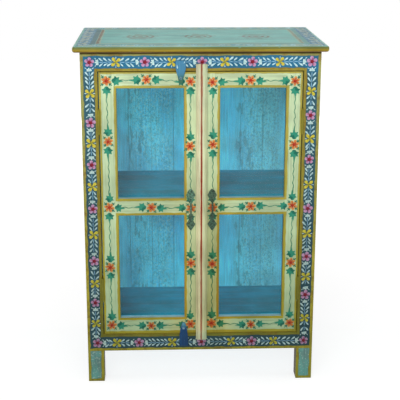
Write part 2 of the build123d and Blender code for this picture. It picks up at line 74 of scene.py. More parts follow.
def door_sizes(side):
    """Edges of one door and of its two glass openings."""
    hinge_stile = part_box(f"{side}_door_hinge_stile")
    meeting_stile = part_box(f"{side}_door_meeting_stile")
    rails = {level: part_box(f"{side}_door_{level}_rail") for level in ("top", "middle", "bottom")}
    flip = side == "right"
    return {
        "edge": hinge_stile[1].x if flip else hinge_stile[0].x,
        "hinge_sight": hinge_stile[0].x if flip else hinge_stile[1].x,
        "meeting_sight": meeting_stile[1].x if flip else meeting_stile[0].x,
        "bead": bead_right_x if flip else bead_left_x,
        "low": rails["bottom"][0].z,
        "lower_pane": (rails["bottom"][1].z, rails["middle"][0].z),
        "upper_pane": (rails["middle"][1].z, rails["top"][0].z),
        "high": rails["top"][1].z,
    }


doors = {side: door_sizes(side) for side in ("left", "right")}

# ------------------------------------------------------------------ colours and nodes


def linear(hex_colour):
    """An sRGB hex colour as linear RGBA."""
    channels = [int(hex_colour[start:start + 2], 16) / 255 for start in (1, 3, 5)]
    return [c / 12.92 if c <= 0.04045 else ((c + 0.055) / 1.055) ** 2.4 for c in channels] + [1.0]


# short kinds of node: the node's own name, its settings, and the sockets that its inputs go to in order
KINDS = {
    "ramp": ("MapRange", {"interpolation_type": "SMOOTHSTEP"}, (0, 1, 2, 3, 4)),
    "mix": ("Mix", {"data_type": "RGBA"}, (0, 6, 7)),
    "multiply": ("Mix", {"data_type": "RGBA", "blend_type": "MULTIPLY"}, (0, 6, 7)),
    "pick": ("Mix", {"data_type": "FLOAT"}, (0, 2, 3)),
}
SUMS = {"+": "ADD", "-": "SUBTRACT", "*": "MULTIPLY", "/": "DIVIDE", "**": "POWER", "min": "MINIMUM",
        "max": "MAXIMUM", "abs": "ABSOLUTE", "sign": "SIGN", "floor": "FLOOR", "fract": "FRACT",
        "wrap": "WRAP", "sin": "SINE", "atan2": "ARCTAN2"}
for sign, operation in SUMS.items():
    KINDS[sign] = ("Math", {"operation": operation}, (0, 1, 2))


def add(tree, kind, *inputs, **settings):
    """Add a shader node, with its settings and links.

    A short kind takes its inputs one by one, and "+", "*", "min" and "max" fold as many as they get.
    Any other kind takes one dict of them, by socket. An input is a number, a hex colour, a socket,
    or a node, for the first output that it has in use. A ramp takes a value, the two places that it
    moves smoothly between, and the two numbers that it gives there, or 0 and 1. A mix or a pick
    takes a share, what it gives at 0, and what it gives at 1.
    """
    if kind in ("+", "*", "min", "max") and len(inputs) > 2:
        inputs = add(tree, kind, *inputs[:-1]), inputs[-1]
    if kind in KINDS:
        kind, settings, order = KINDS[kind]
        inputs = [dict(zip(order, inputs))]
    node = tree.nodes.new("ShaderNode" + kind)
    for name, value in settings.items():
        setattr(node, name, value)
    for name, value in (inputs[0] if inputs else {}).items():
        if isinstance(value, str):
            value = linear(value)
        if isinstance(value, bpy.types.Node):
            value = next(output for output in value.outputs if output.enabled)
        if isinstance(value, bpy.types.NodeSocket):
            tree.links.new(value, node.inputs[name])
        else:
            node.inputs[name].default_value = value
    return node


def new_material(name):
    """An empty node material, with its object coordinates in millimetres."""
    material = bpy.data.materials.new(name)
    material.use_nodes = True
    tree = material.node_tree
    tree.nodes.clear()
    place = add(tree, "TexCoord")
    coords = add(tree, "VectorMath", {0: place.outputs["Object"], "Scale": 1 / MM}, operation="SCALE")
    return material, tree, place, coords


def apart(tree, value, middle):
    """How far a number lies from another, on either side."""
    return add(tree, "abs", add(tree, "-", value, middle))


def squared_reach(tree, across, along):
    """The square of the distance that two lengths at right angles make."""
    return add(tree, "+", add(tree, "**", across, 2.0), add(tree, "**", along, 2.0))


def clouding(tree, coords, size_mm, detail=2.0, stretch=(1, 1, 1), shift=0.0):
    """Cloudy unevenness, its features about size_mm across and drawn out where stretch is small."""
    scale = [s / size_mm for s in stretch]
    mapped = add(tree, "Mapping", {"Vector": coords, "Scale": scale, "Location": (shift, shift, shift)})
    return add(tree, "TexNoise", {"Vector": mapped, "Scale": 1.0, "Detail": detail})


def patches(tree, coords, size_mm, low, high, start=0.0, end=1.0, **grain):
    """Soft-edged patches about size_mm across, from start between them to end within."""
    return add(tree, "ramp", clouding(tree, coords, size_mm, **grain), low, high, start, end)


GRAINS = {"x": (0.05, 1, 1), "y": (1, 0.05, 1), "z": (1, 1, 0.05)}
MATT = {"Specular IOR Level": 0.18}      # the weak mirror of chalky, unvarnished paint

# painted shade over the paints, for light that falls off towards the floor, in millimetres: how far from
# the middle it turns from yellow-brown to grey-green, the height below which it is grey-green all over,
# and the height it reaches at most
SHADE_TURNS_MM = (60.0, 130.0)
SHADE_FOOT_MM = (190.0, 155.0)
SHADE_TOP_MM = 1120.0
# an extra band of the same darkening tint, down the right door's inner stile and below the handles
BAND_X_MM = 45.0
BAND_HALF_MM = (12.0, 40.0)
BAND_TOP_MM = (700.0, 560.0)
BAND_STRENGTH = 0.3


def painted_low_shade(tree, coords, colour, strength=1.0, span=(0.0, SHADE_TOP_MM), away="#A6B2AA"):
    """Darken a colour with painted shade, for light that falls off towards the floor: full at the foot of
    its span, and gone at the top.

    The painted shade is yellow-brown near the handles and grey-green further out.
    """
    x, _y, z = add(tree, "SeparateXYZ", {0: coords}).outputs
    drift = patches(tree, coords, 120.0, 0.3, 0.7, -50.0, 50.0, detail=3.0, shift=6.0)
    far_out = add(tree, "ramp", add(tree, "abs", x), *SHADE_TURNS_MM)
    grey = add(tree, "max", far_out, add(tree, "ramp", z, *SHADE_FOOT_MM))
    painted_shade = add(tree, "mix", grey, "#BCAE8A", away)
    sockets = {"Value": add(tree, "+", z, drift), "From Min": span[0], "From Max": span[1]}
    # painted shade: strongest at the foot of the span, gone at its top
    shade_amount = add(tree, "MapRange", {**sockets, "To Min": strength, "To Max": 0.0})
    band = add(tree, "ramp", apart(tree, x, BAND_X_MM), *BAND_HALF_MM, BAND_STRENGTH, 0.0)
    band = add(tree, "*", band, add(tree, "ramp", z, *BAND_TOP_MM))
    return add(tree, "multiply", add(tree, "+", shade_amount, band), colour, painted_shade)


def coat(tree, colour, rough, relief, strength, depth_mm, shader):
    """Close a material as one solid coat, with its relief so many millimetres deep."""
    bump = add(tree, "Bump", {"Strength": strength, "Distance": depth_mm * MM, "Height": relief})
    sockets = {"Base Color": colour, "Roughness": rough, "Normal": bump, **shader}
    add(tree, "OutputMaterial", {"Surface": add(tree, "BsdfPrincipled", sockets)})


def bare_wood(tree, coords, grain, light="#A07C52", dark="#6E4F31"):
    """Unpainted, browned hardwood: the colour of its long grain."""
    figure = clouding(tree, coords, 6.0, detail=5.0, stretch=GRAINS[grain], shift=8.0)
    bands = clouding(tree, coords, 40.0, detail=2.0, stretch=GRAINS[grain], shift=4.4)
    return add(tree, "mix", add(tree, "ramp", add(tree, "+", figure, bands), 0.75, 1.25), dark, light)


CHIP_EDGE = 0.04                 # of the clouding, between whole paint and a bare chip


def brushed_paint(tree, coords, colour, grain, wear=0.5, worn_colour="#8C8A6A", roughness=0.5,
                  dirt=0.5, streak_mm=5.0, tone=(0.78, 1.18)):
    """Old brushed milk paint on wood: streaks, tone changes, chips that show an older coat, grime."""
    stretch = GRAINS[grain]
    streaks = clouding(tree, coords, streak_mm, detail=4.0, stretch=stretch)
    clouds = clouding(tree, coords, 90.0, detail=3.0, shift=3.1)
    chip_stretch = tuple(0.35 + 0.65 * s for s in stretch)
    light = add(tree, "ramp", add(tree, "+", streaks, clouds), 0.65, 1.35, *tone)
    grey = add(tree, "CombineColor", {"Red": light, "Green": light, "Blue": light})
    toned = add(tree, "multiply", 1.0, colour, grey)
    whole = 0.74 - 0.1 * wear
    chips = patches(tree, coords, 9.0, whole, whole + CHIP_EDGE, 0.0, min(1.0, wear), detail=6.0,
                    stretch=chip_stretch, shift=7.7)
    specks = patches(tree, coords, 2.2, 0.70, 0.76, 0.0, 0.45 * dirt, detail=2.0, shift=1.3)
    grimed = add(tree, "mix", specks, add(tree, "mix", chips, toned, worn_colour), "#4A4A38")
    rough = add(tree, "ramp", streaks, 0.3, 0.7, roughness - 0.08, roughness + 0.1)
    coat(tree, grimed, rough, add(tree, "-", streaks, chips), 0.35, 0.4, MATT)


# ------------------------------------------------------------------ materials of the case

# a pair is the paint low down on the case and high up; the change between them is painted light and
# shade, for the light that falls from the top of the case to the bottom
BLUE = ("#34545F", "#365F6C")
# painted light: a brighter blue high up, where the light is strongest
TOP_BLUE = "#2C7092"                     # just under the lip of the top
OCHRE = ("#C0AE3C", "#9A9A58")
INNER_OCHRE = ("#8E8630", "#978A38")
DOOR_OCHRE = ("#BCAA38", "#B0A44C")
CREAM = "#C8DBB1"
TURQUOISE = "#8AD4CC"
LEG_TURQUOISE = "#84C0BC"
LEG_BROWN = "#463A16"
SKY = "#4FB4D6"
TEAL = "#28A8C2"
LEDGE = "#9CC6D0"

LOW_TO_HIGH_MM = (250.0, 950.0)          # heights between which a pair's colours change over
TOP_BLUE_MM = (985.0, 1015.0)
LINE_MM = 9.0
REVEAL_MM = 27.5                 # the part of an opening's depth that is painted as the front is
LIP_HIDES_MM = 2.5               # of the rail under the overhanging top
LIP_SHADE_MM = (1.5, 6.5)        # below the lip, over which its dark line ends


def mm(length):
    """A frame length as millimetres."""
    return length / MM


def wobbly(tree, coords, distance, amount_mm=1.3):
    """A distance with the unevenness of a line drawn by hand."""
    shake = patches(tree, coords, 28.0, 0.3, 0.7, -amount_mm, amount_mm, shift=5.0)
    return add(tree, "+", distance, shake)


def by_height(tree, coords, low_and_high):
    """A paint that changes evenly from its low colour to its high one: painted light and shade from top
    to bottom.
    """
    height = add(tree, "SeparateXYZ", {0: coords}).outputs[2]
    return add(tree, "mix", add(tree, "ramp", height, *LOW_TO_HIGH_MM), *low_and_high)


def outlined(tree, distance, at_mm, colour, strength=0.2):
    """A thin brown contour where two colours meet."""
    off_line = apart(tree, distance, at_mm)
    return add(tree, "mix", add(tree, "ramp", off_line, 0.5, 1.5, strength, 0.0), colour, "#4E4A22")


def leg_field(tree, coords):
    """The legs' turquoise, with greyer patches and pale flecks."""
    grey = patches(tree, coords, 26.0, 0.4, 0.62, detail=3.0, stretch=(1, 1, 0.5), shift=14.0)
    flecks = patches(tree, coords, 5.0, 0.6, 0.66, 0.0, 0.8, detail=2.0, shift=16.0)
    return add(tree, "mix", flecks, add(tree, "mix", grey, LEG_TURQUOISE, "#84A8A6"), "#D2E2DC")


def case_paint(name, grain):
    """Blue bands between ochre lines on the front and the sides, turquoise legs, sky blue inside."""
    material, tree, place, coords = new_material(name)
    x, y, z = add(tree, "SeparateXYZ", {0: coords}).outputs
    normal = add(tree, "SeparateXYZ", {0: place.outputs["Normal"]}).outputs
    outward = add(tree, "*", normal[0], add(tree, "sign", x))
    is_side = add(tree, "ramp", outward, 0.5, 0.6)
    is_front = add(tree, "ramp", normal[1], -0.5, -0.6)

    # distances from the edges of the front or the side, whichever this is
    from_middle = add(tree, "-", y, mm(case_middle_y))
    across = add(tree, "pick", is_side, add(tree, "abs", x), add(tree, "abs", from_middle))
    half = add(tree, "pick", is_side, mm(case_half), mm(side_half))
    inner = add(tree, "pick", is_side, mm(opening_half), mm(side_opening_half))
    from_outer = add(tree, "-", half, across)
    from_inner = add(tree, "-", across, inner)
    above_base = add(tree, "-", z, mm(case_bottom))
    below_top = add(tree, "-", mm(case_top) - LIP_HIDES_MM, z)
    outline = add(tree, "min", from_outer, above_base, below_top)
    inline = add(tree, "max", from_inner, add(tree, "-", z, mm(opening_top)),
                 add(tree, "-", mm(opening_bottom), z))
    border = add(tree, "min", outline, inline)
    leg_border = add(tree, "min", from_outer, from_inner, z)
    is_leg = add(tree, "ramp", above_base, 0.4, -0.4)
    edge = wobbly(tree, coords, add(tree, "pick", is_leg, border, leg_border))

    # the field, and the lines round it
    # painted light and shade: the blue and the ochre change with height
    blue = add(tree, "mix", add(tree, "ramp", z, *TOP_BLUE_MM), by_height(tree, coords, BLUE), TOP_BLUE)
    field = add(tree, "mix", is_leg, blue, leg_field(tree, coords))
    ochre = by_height(tree, coords, OCHRE)
    is_inline = add(tree, "ramp", add(tree, "-", outline, inline), -1.0, 1.0)
    line_colour = add(tree, "mix", is_inline, ochre, by_height(tree, coords, INNER_OCHRE))
    browned = patches(tree, coords, 16.0, 0.48, 0.7, 0.0, 0.55, detail=4.0, shift=11.0)
    line_colour = add(tree, "mix", browned, line_colour, "#86601E")
    line = add(tree, "ramp", edge, LINE_MM - 0.5, LINE_MM + 0.5, 1.0, 0.0)
    shown = outlined(tree, edge, LINE_MM, add(tree, "mix", line, field, line_colour))
    shown = add(tree, "mix", add(tree, "ramp", below_top, *LIP_SHADE_MM, 1.0, 0.0), shown, "#3A3008")

    # the faces that look inwards
    reveal_end = mm(front_y) + REVEAL_MM
    past_reveal = add(tree, "ramp", y, reveal_end - 0.5, reveal_end + 0.5)
    reveal = add(tree, "mix", is_leg, ochre, LEG_BROWN)
    inside = add(tree, "mix", add(tree, "-", past_reveal, is_leg), reveal, SKY)
    behind_planks = add(tree, "ramp", y, mm(planks_back_y) - 0.6, mm(planks_back_y) - 0.2)
    inside = add(tree, "mix", behind_planks, inside, bare_wood(tree, coords, grain))
    is_outside = add(tree, "max", is_side, is_front)
    # painted shade: the outer faces darken towards the floor
    colour = add(tree, "mix", is_outside, inside, painted_low_shade(tree, coords, shown))
    brushed_paint(tree, coords, colour, grain, wear=0.55)
    return material


def door_paint(name, door, grain):
    """Cream frames with ochre lines round the edge and the panes; sky blue behind, pale ledges."""
    material, tree, place, coords = new_material(name)
    x, _y, z = add(tree, "SeparateXYZ", {0: coords}).outputs
    normal = add(tree, "SeparateXYZ", {0: place.outputs["Normal"]}).outputs
    left, right = sorted((door["hinge_sight"], door["meeting_sight"]))
    past_sides = add(tree, "max", add(tree, "-", mm(left), x), add(tree, "-", x, mm(right)))
    panes = []
    for low, high in (door["lower_pane"], door["upper_pane"]):
        panes.append(add(tree, "max", past_sides, add(tree, "-", mm(low), z),
                         add(tree, "-", z, mm(high))))
    from_pane = add(tree, "min", *panes)
    from_edge = apart(tree, x, mm(door["edge"]))
    outline = add(tree, "min", from_edge, add(tree, "-", mm(door["high"]) + 1.5, z),
                  add(tree, "-", z, mm(door["low"]) + 2.0))
    edge = add(tree, "min", add(tree, "+", outline, 1.6), from_pane)
    line = add(tree, "ramp", wobbly(tree, coords, edge, 0.9), LINE_MM - 1.4, LINE_MM - 0.6, 1.0, 0.0)
    # painted light and shade: the ochre lines change with height
    front = add(tree, "mix", line, CREAM, by_height(tree, coords, DOOR_OCHRE))
    faces_up = add(tree, "ramp", normal[2], 0.8, 0.9)
    is_ledge = add(tree, "*", faces_up, add(tree, "ramp", from_pane, 1.0, 0.5))
    # painted shade: the front darkens towards the floor
    ledged = add(tree, "mix", is_ledge, painted_low_shade(tree, coords, front), LEDGE)
    colour = add(tree, "mix", add(tree, "ramp", normal[1], 0.5, 0.6), ledged, SKY)
    brushed_paint(tree, coords, colour, grain, wear=0.35, worn_colour="#A9A77A", dirt=0.7)
    return material


def plain_paint(name, hex_colour, grain, shaded_low=False, **finish):
    """One coat of brushed paint, with or without painted shade towards the floor."""
    material, tree, _place, coords = new_material(name)
    colour = painted_low_shade(tree, coords, hex_colour) if shaded_low else hex_colour
    brushed_paint(tree, coords, colour, grain, **finish)
    return material


def bead_paint():
    """Cream moulding with a red line run down the groove where the doors meet."""
    material, tree, _place, coords = new_material("cream_moulding_paint_with_red_line")
    x = add(tree, "SeparateXYZ", {0: coords}).outputs[0]
    meeting = mm(meeting_x)
    rubbed = patches(tree, coords, 20.0, 0.4, 0.65, 1.0, 0.7, detail=4.0, stretch=GRAINS["z"], shift=6.0)
    from_line = wobbly(tree, coords, apart(tree, x, meeting), 0.4)
    red = add(tree, "*", add(tree, "ramp", from_line, 2.3, 2.9, 1.0, 0.0), rubbed)
    ground = add(tree, "mix", add(tree, "ramp", x, meeting - 1.0, meeting + 1.0), "#D9D8B4", "#CCD6B0")
    stains = patches(tree, coords, 7.0, 0.56, 0.7, detail=5.0, stretch=GRAINS["z"], shift=3.0)
    stained = add(tree, "mix", add(tree, "*", stains, 0.4), ground, "#B09C70")
    # painted shade: the moulding darkens towards the floor
    colour = painted_low_shade(tree, coords, add(tree, "mix", red, stained, "#B0462E"), 0.75)
    brushed_paint(tree, coords, colour, "z", wear=0.3, worn_colour="#B3A98A", dirt=0.8)
    return material


# the top's border: insets over which each band comes in from the edge and goes out again
BLUE_BAND = ((8.0, 14.0), (49.0, 51.0))
DARK_STRIP = ((49.0, 51.0), (64.0, 66.0))
PALE_LINE = ((65.0, 66.0), (78.0, 80.0))
RED_LINE = ((66.0, 67.0), (74.0, 75.5))
FLOWER_PITCH_MM = 84.0
FLOWER_INSET_MM = 28.0
SPRAY_PITCH_MM = 11.0

ROSETTE_PITCH_MM = 183.0
ROSETTE_RADIUS_MM = 50.0
ROSETTE_FORWARD_MM = 8.0
PETALS = 8.0
PETAL_SWELL_MM = 8.0
ROSETTES_END_MM = (255.0, 265.0)


def border_band(tree, inset, comes_in, goes_out):
    """A mask of one band of the border."""
    band = add(tree, "ramp", inset, *comes_in)
    return add(tree, "*", band, add(tree, "ramp", inset, *goes_out, 1.0, 0.0))


def worn_border(tree, x, y, from_end, from_long_edge):
    """Masks for the rubbed sprays and blossoms in the border that runs round the top."""
    is_end = add(tree, "ramp", add(tree, "-", from_end, from_long_edge), 0.5, -0.5)
    along = add(tree, "pick", is_end, x, y)
    across = apart(tree, add(tree, "min", from_end, from_long_edge), FLOWER_INSET_MM)
    half = FLOWER_PITCH_MM / 2
    from_flower = add(tree, "abs", add(tree, "wrap", along, half, -half))
    from_next = add(tree, "-", half, from_flower)
    strokes = add(tree, "+", from_flower, add(tree, "*", across, 0.8))
    turns = add(tree, "*", strokes, 2 * math.pi / SPRAY_PITCH_MM)
    phase = add(tree, "sin", turns)
    between = add(tree, "ramp", from_flower, 11.0, 13.0)
    between = add(tree, "*", between, add(tree, "ramp", from_next, 9.0, 11.0))
    width = add(tree, "ramp", across, 1.0, 2.5)
    width = add(tree, "*", width, add(tree, "ramp", across, 21.0, 18.0))
    sprays = add(tree, "*", add(tree, "ramp", phase, 0.0, 0.5), between, width)
    blossoms = 0.0
    for distance in (from_flower, from_next):
        blossom = add(tree, "ramp", squared_reach(tree, distance, across), 230.0, 160.0)
        blossoms = add(tree, "max", blossom, blossoms)
    return sprays, blossoms, is_end


def rosettes(tree, coords, x, y, middle_y):
    """A mask of ringed, petalled rosettes in a row along the top, rubbed along the grain."""
    half = ROSETTE_PITCH_MM / 2
    wrapped = add(tree, "wrap", add(tree, "+", x, half), 0.0, 2 * half)
    across = add(tree, "-", wrapped, half)
    along = add(tree, "*", add(tree, "-", y, middle_y - ROSETTE_FORWARD_MM), 0.8)
    radius = add(tree, "**", squared_reach(tree, across, along), 0.5)
    turns = add(tree, "*", add(tree, "atan2", along, across), PETALS)
    petals = add(tree, "sin", turns)
    reach = add(tree, "+", add(tree, "*", petals, PETAL_SWELL_MM), ROSETTE_RADIUS_MM)
    filled = add(tree, "ramp", add(tree, "-", radius, reach), -6.0, 4.0, 1.0, 0.0)
    rings = add(tree, "sin", add(tree, "*", radius, 0.35))
    ringed = add(tree, "*", filled, add(tree, "ramp", rings, -0.6, 0.8, 0.25, 1.0))
    near = add(tree, "ramp", add(tree, "abs", x), *ROSETTES_END_MM, 1.0, 0.0)
    kept = patches(tree, coords, 14.0, 0.36, 0.54, detail=4.0, stretch=GRAINS["x"], shift=2.0)
    return add(tree, "*", ringed, near, kept)


def top_paint():
    """Turquoise boards, rubbed along the grain, with a blue border, a red line and faded rosettes."""
    material, tree, place, coords = new_material("rubbed_turquoise_top_paint")
    x, y, z = add(tree, "SeparateXYZ", {0: coords}).outputs
    normal = add(tree, "SeparateXYZ", {0: place.outputs["Normal"]}).outputs
    middle_y = mm(top_low.y + top_high.y) / 2
    from_end = add(tree, "-", mm(top_high.x), add(tree, "abs", x))
    from_long_edge = add(tree, "-", mm(top_high.y - top_low.y) / 2, apart(tree, y, middle_y))
    inset = wobbly(tree, coords, add(tree, "min", from_end, from_long_edge), 1.5)

    # the boards, and the bands of the border
    rubbed = patches(tree, coords, 9.0, 0.42, 0.6, detail=5.0, stretch=GRAINS["x"])
    margin = add(tree, "mix", add(tree, "ramp", inset, 12.0, 18.0), "#9CC4B6", "#6FBAB2")
    even = add(tree, "mix", add(tree, "*", rubbed, 0.8), margin, "#86CCC0")
    field = add(tree, "multiply", add(tree, "ramp", x, -310.0, -180.0, 1.0, 0.0), even, "#D4EEED")
    band = border_band(tree, inset, *BLUE_BAND)
    sprays, blossoms, is_end = worn_border(tree, x, y, from_end, from_long_edge)
    blue_kept = add(tree, "pick", is_end, 0.45, 0.95)
    banded = add(tree, "mix", add(tree, "*", band, blue_kept), field, "#1C7094")
    line_kept = add(tree, "ramp", x, -300.0, 300.0, 1.0, 0.5)
    line_kept = add(tree, "pick", is_end, 0.35, line_kept)
    strip = border_band(tree, inset, *DARK_STRIP)
    stripped = add(tree, "mix", add(tree, "*", strip, line_kept, 0.9), banded, "#245C62")
    faded = patches(tree, coords, 14.0, 0.36, 0.54, detail=4.0, shift=2.6)
    sprayed = add(tree, "mix", add(tree, "*", sprays, faded, band), stripped, "#CFEDE8")
    flowered = add(tree, "mix", add(tree, "*", blossoms, faded, band, 0.8), sprayed, "#B4C09A")
    pale = border_band(tree, inset, *PALE_LINE)
    paled = add(tree, "mix", add(tree, "*", pale, 0.6), flowered, "#A8B08A")
    line = border_band(tree, inset, *RED_LINE)
    line = add(tree, "*", line, add(tree, "ramp", faded, 0.0, 1.0, 0.6, 1.0))
    lined = add(tree, "mix", add(tree, "*", line, line_kept), paled, "#665238")
    tints = patches(tree, coords, 12.0, 0.46, 0.62, detail=3.0, stretch=GRAINS["x"], shift=15.0)
    rosette = add(tree, "*", rosettes(tree, coords, x, y, middle_y), 0.9)
    figured = add(tree, "mix", rosette, lined, add(tree, "mix", tints, "#64602C", "#7E6468"))

    # the rim and the underside
    # painted shade: the rim darkens to brown at its foot, under its curve; it turns greenish towards its
    # top edge
    above_foot = add(tree, "ramp", z, mm(top_low.z), mm(top_low.z) + 6.0)
    below_edge = add(tree, "ramp", z, mm(top_high.z) - 11.0, mm(top_high.z) - 5.0)
    lip = add(tree, "mix", below_edge, add(tree, "mix", above_foot, "#644F04", "#94802A"), "#6C733C")
    rimmed = add(tree, "mix", add(tree, "ramp", normal[2], 0.9, 0.7), figured, lip)
    is_under = add(tree, "ramp", normal[2], -0.6, -0.9)
    colour = add(tree, "mix", is_under, rimmed, bare_wood(tree, coords, "x"))
    brushed_paint(tree, coords, colour, "x", wear=0.7, worn_colour="#74A296", roughness=0.42, dirt=0.6)
    return material


PLANK_COUNT = 8
plank_low, plank_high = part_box("back_planks")

# middles and half widths of the bands where the distemper flakes, and where it has run
FLAKED_MM = ((-150.0, 76.0), (230.0, 68.0))
RUN_DOWN_MM = ((-206.0, 34.0), (170.0, 36.0))
# painted light: where the planks start to lighten towards each side, against the shade the sides cast,
# and where they are lightest
PAINTED_LIGHT_SIDES_MM = ((40.0, 330.0), (-200.0, -320.0))


def plank_back(tree, coords, x):
    """The planks' bare backs: each board its own brown, with a dark joint between."""
    plank_width = mm(plank_high.x - plank_low.x) / PLANK_COUNT
    share = add(tree, "/", add(tree, "-", x, mm(plank_low.x)), plank_width)
    board = add(tree, "floor", share)
    tone = add(tree, "TexWhiteNoise", {"W": add(tree, "+", board, 3.5)}, noise_dimensions="1D")
    darker = add(tree, "ramp", tone.outputs["Value"], 0.0, 1.0, 0.0, 0.7)
    wood = add(tree, "multiply", darker, bare_wood(tree, coords, "z"), "#8A7460")
    from_middle = apart(tree, add(tree, "fract", share), 0.5)
    return add(tree, "mix", add(tree, "ramp", from_middle, 0.475, 0.485, 0.0, 0.85), wood, "#2C2016")


def plank_bands(tree, x, bands, soft):
    """A mask of upright bands across the planks, soft by so many millimetres at their edges."""
    inside = 0.0
    for middle, reach in bands:
        band = add(tree, "ramp", apart(tree, x, middle), reach - soft, reach + soft, 1.0, 0.0)
        inside = add(tree, "max", band, inside)
    return inside


def plank_paint():
    """Sky blue distemper on upright planks, crazed and rubbed through to a green-grey ground."""
    material, tree, place, coords = new_material("distressed_sky_blue_distemper")
    normal = add(tree, "SeparateXYZ", {0: place.outputs["Normal"]}).outputs
    x = add(tree, "SeparateXYZ", {0: coords}).outputs[0]
    broad = patches(tree, coords, 70.0, 0.35, 0.65, detail=3.0, stretch=(1, 1, 0.22))
    colour = add(tree, "mix", broad, "#4ACAF4", "#5CE2FE")
    # painted light: the planks lighten towards each side
    for starts, palest in PAINTED_LIGHT_SIDES_MM:
        colour = add(tree, "mix", add(tree, "ramp", x, starts, palest, 0.0, 0.6), colour, "#84EAFA")
    worn = patches(tree, coords, 90.0, 0.36, 0.56, 0.4, 1.0, detail=4.0, stretch=(1, 1, 0.4), shift=9.0)
    worn = add(tree, "*", plank_bands(tree, x, FLAKED_MM, 25.0), worn)
    run_down = plank_bands(tree, x, RUN_DOWN_MM, 16.0)
    dulled = add(tree, "*", add(tree, "max", worn, run_down), 0.25)
    colour = add(tree, "mix", dulled, colour, "#4C9C9C")
    crazing = patches(tree, coords, 5.5, 0.52, 0.57, detail=3.0, stretch=(1, 1, 0.8), shift=4.0)
    flakes = patches(tree, coords, 5.5, 0.53, 0.58, detail=3.0, stretch=(1, 1, 0.8), shift=12.0)
    runs = patches(tree, coords, 14.0, 0.54, 0.62, detail=5.0, stretch=(1, 1, 0.3), shift=1.0)
    for pattern, where, strength, tint in ((crazing, worn, 0.4, "#2E8092"),
                                           (flakes, worn, 0.42, "#8CE0E0"),
                                           (runs, run_down, 0.42, "#266A7A")):
        colour = add(tree, "mix", add(tree, "*", pattern, where, strength), colour, tint)
    colour = add(tree, "mix", add(tree, "ramp", normal[1], 0.5, 0.6), colour, plank_back(tree, coords, x))
    brushed_paint(tree, coords, colour, "z", wear=0.3, worn_colour="#8FA890", roughness=0.6, dirt=0.4)
    return material


def button_paint(name, tip_colour, tip_mm, body_colour, body_mm):
    """Blue paint that turns to another colour towards the tip of a turn button, with painted shade on its
    edges.
    """
    material, tree, place, coords = new_material(name)
    z = add(tree, "SeparateXYZ", {0: coords}).outputs[2]
    normal = add(tree, "SeparateXYZ", {0: place.outputs["Normal"]}).outputs
    body = add(tree, "mix", add(tree, "ramp", z, tip_mm, body_mm), tip_colour, body_colour)
    # painted shade: the edges that face neither forward nor up are darkened
    edge = add(tree, "ramp", normal[1], -0.97, -0.7, 0.0, 0.8)
    edge = add(tree, "*", edge, add(tree, "ramp", normal[2], 0.6, 0.3))
    colour = add(tree, "mix", edge, body, "#2C4248")
    brushed_paint(tree, coords, colour, "z", wear=0.8, worn_colour="#7F9C9A", dirt=0.9)
    return material


GLASS_IOR = 1.3
GLASS_TINT = "#FBFEFE"


def clear_glass():
    """Thin drawn window glass, clear, with lamps let through so the inside is lit.

    Soda glass has an IOR of 1.52. At 1.3 its two faces mirror about 3% of the room instead of 8%.
    """
    material, tree, _place, coords = new_material("drawn_window_glass")
    ripples = clouding(tree, coords, 70.0, detail=1.0)
    bump = add(tree, "Bump", {"Strength": 0.05, "Distance": 0.001, "Height": ripples})
    sockets = {"Base Color": GLASS_TINT, "Roughness": 0.0, "IOR": GLASS_IOR, "Transmission Weight": 1.0}
    glass = add(tree, "BsdfPrincipled", {**sockets, "Normal": bump})
    through = add(tree, "BsdfTransparent", {"Color": GLASS_TINT})
    rays = add(tree, "LightPath")
    mixed = add(tree, "MixShader", {0: rays.outputs["Is Shadow Ray"], 1: glass, 2: through})
    add(tree, "OutputMaterial", {"Surface": mixed})
    return material


# painted shade: an iron's low tones are darker
IRON_LIGHTENS_MM = (560.0, 590.0)        # the heights between an iron's low tones and its others


def old_iron(name, tones, roughness=0.55, low_tones=None):
    """Unpolished iron or steel: two tones in patches, other, darker tones low down as painted shade if
    given, and small dents.
    """
    material, tree, _place, coords = new_material(name)
    patina = clouding(tree, coords, 6.0, detail=5.0)
    height = add(tree, "ramp", add(tree, "SeparateXYZ", {0: coords}).outputs[2], *IRON_LIGHTENS_MM)
    dark, light = (add(tree, "mix", height, *pair) for pair in zip(low_tones or tones, tones))
    colour = add(tree, "mix", add(tree, "ramp", patina, 0.35, 0.65), dark, light)
    dents = clouding(tree, coords, 3.5, detail=2.0, shift=2.0)
    rough = add(tree, "ramp", patina, 0.3, 0.7, roughness - 0.15, roughness + 0.1)
    coat(tree, colour, rough, dents, 0.5, 0.6, {"Metallic": 0.35})
    return material


# painted shade on the pale marks: weaker, full at 480 mm up and gone at 1050 mm
CHALK_SHADE = {"strength": 0.76, "span": (480.0, 1050.0), "away": "#A8A8A2"}


def stroke_paint(name, inner, outer, split=0.6, **painted_shade):
    """Thick tempera laid with a small brush: deeper at the heart of a mark, paler where it ends."""
    material, tree, place, coords = new_material(name)
    u, v, _w = add(tree, "SeparateXYZ", {0: place.outputs["UV"]}).outputs
    from_heart = add(tree, "**", squared_reach(tree, u, v), 0.5)
    spread = add(tree, "+", from_heart, patches(tree, coords, 8.0, 0.3, 0.7, -0.2, 0.2, detail=3.0))
    tone = add(tree, "mix", add(tree, "ramp", spread, split - 0.3, split + 0.3), inner, outer)
    bristles = clouding(tree, coords, 1.2, detail=2.0)
    # painted shade: the marks darken towards the floor
    coat(tree, painted_low_shade(tree, coords, tone, **painted_shade), 0.45, bristles, 0.3, 0.3, MATT)
    return material


# ------------------------------------------------------------------ finish of the frame's nodes


def cover(piece, material):
    """Give a piece one finish, in place of any that it has."""
    piece.data.materials.clear()
    piece.data.materials.append(material)


def dress(node_name, material):
    """Give a frame node its finish."""
    cover(nodes[node_name], material)


upright_case = case_paint("blue_border_milk_paint_upright", "z")
level_case = case_paint("blue_border_milk_paint_level", "x")
side_case = case_paint("blue_border_milk_paint_side", "y")
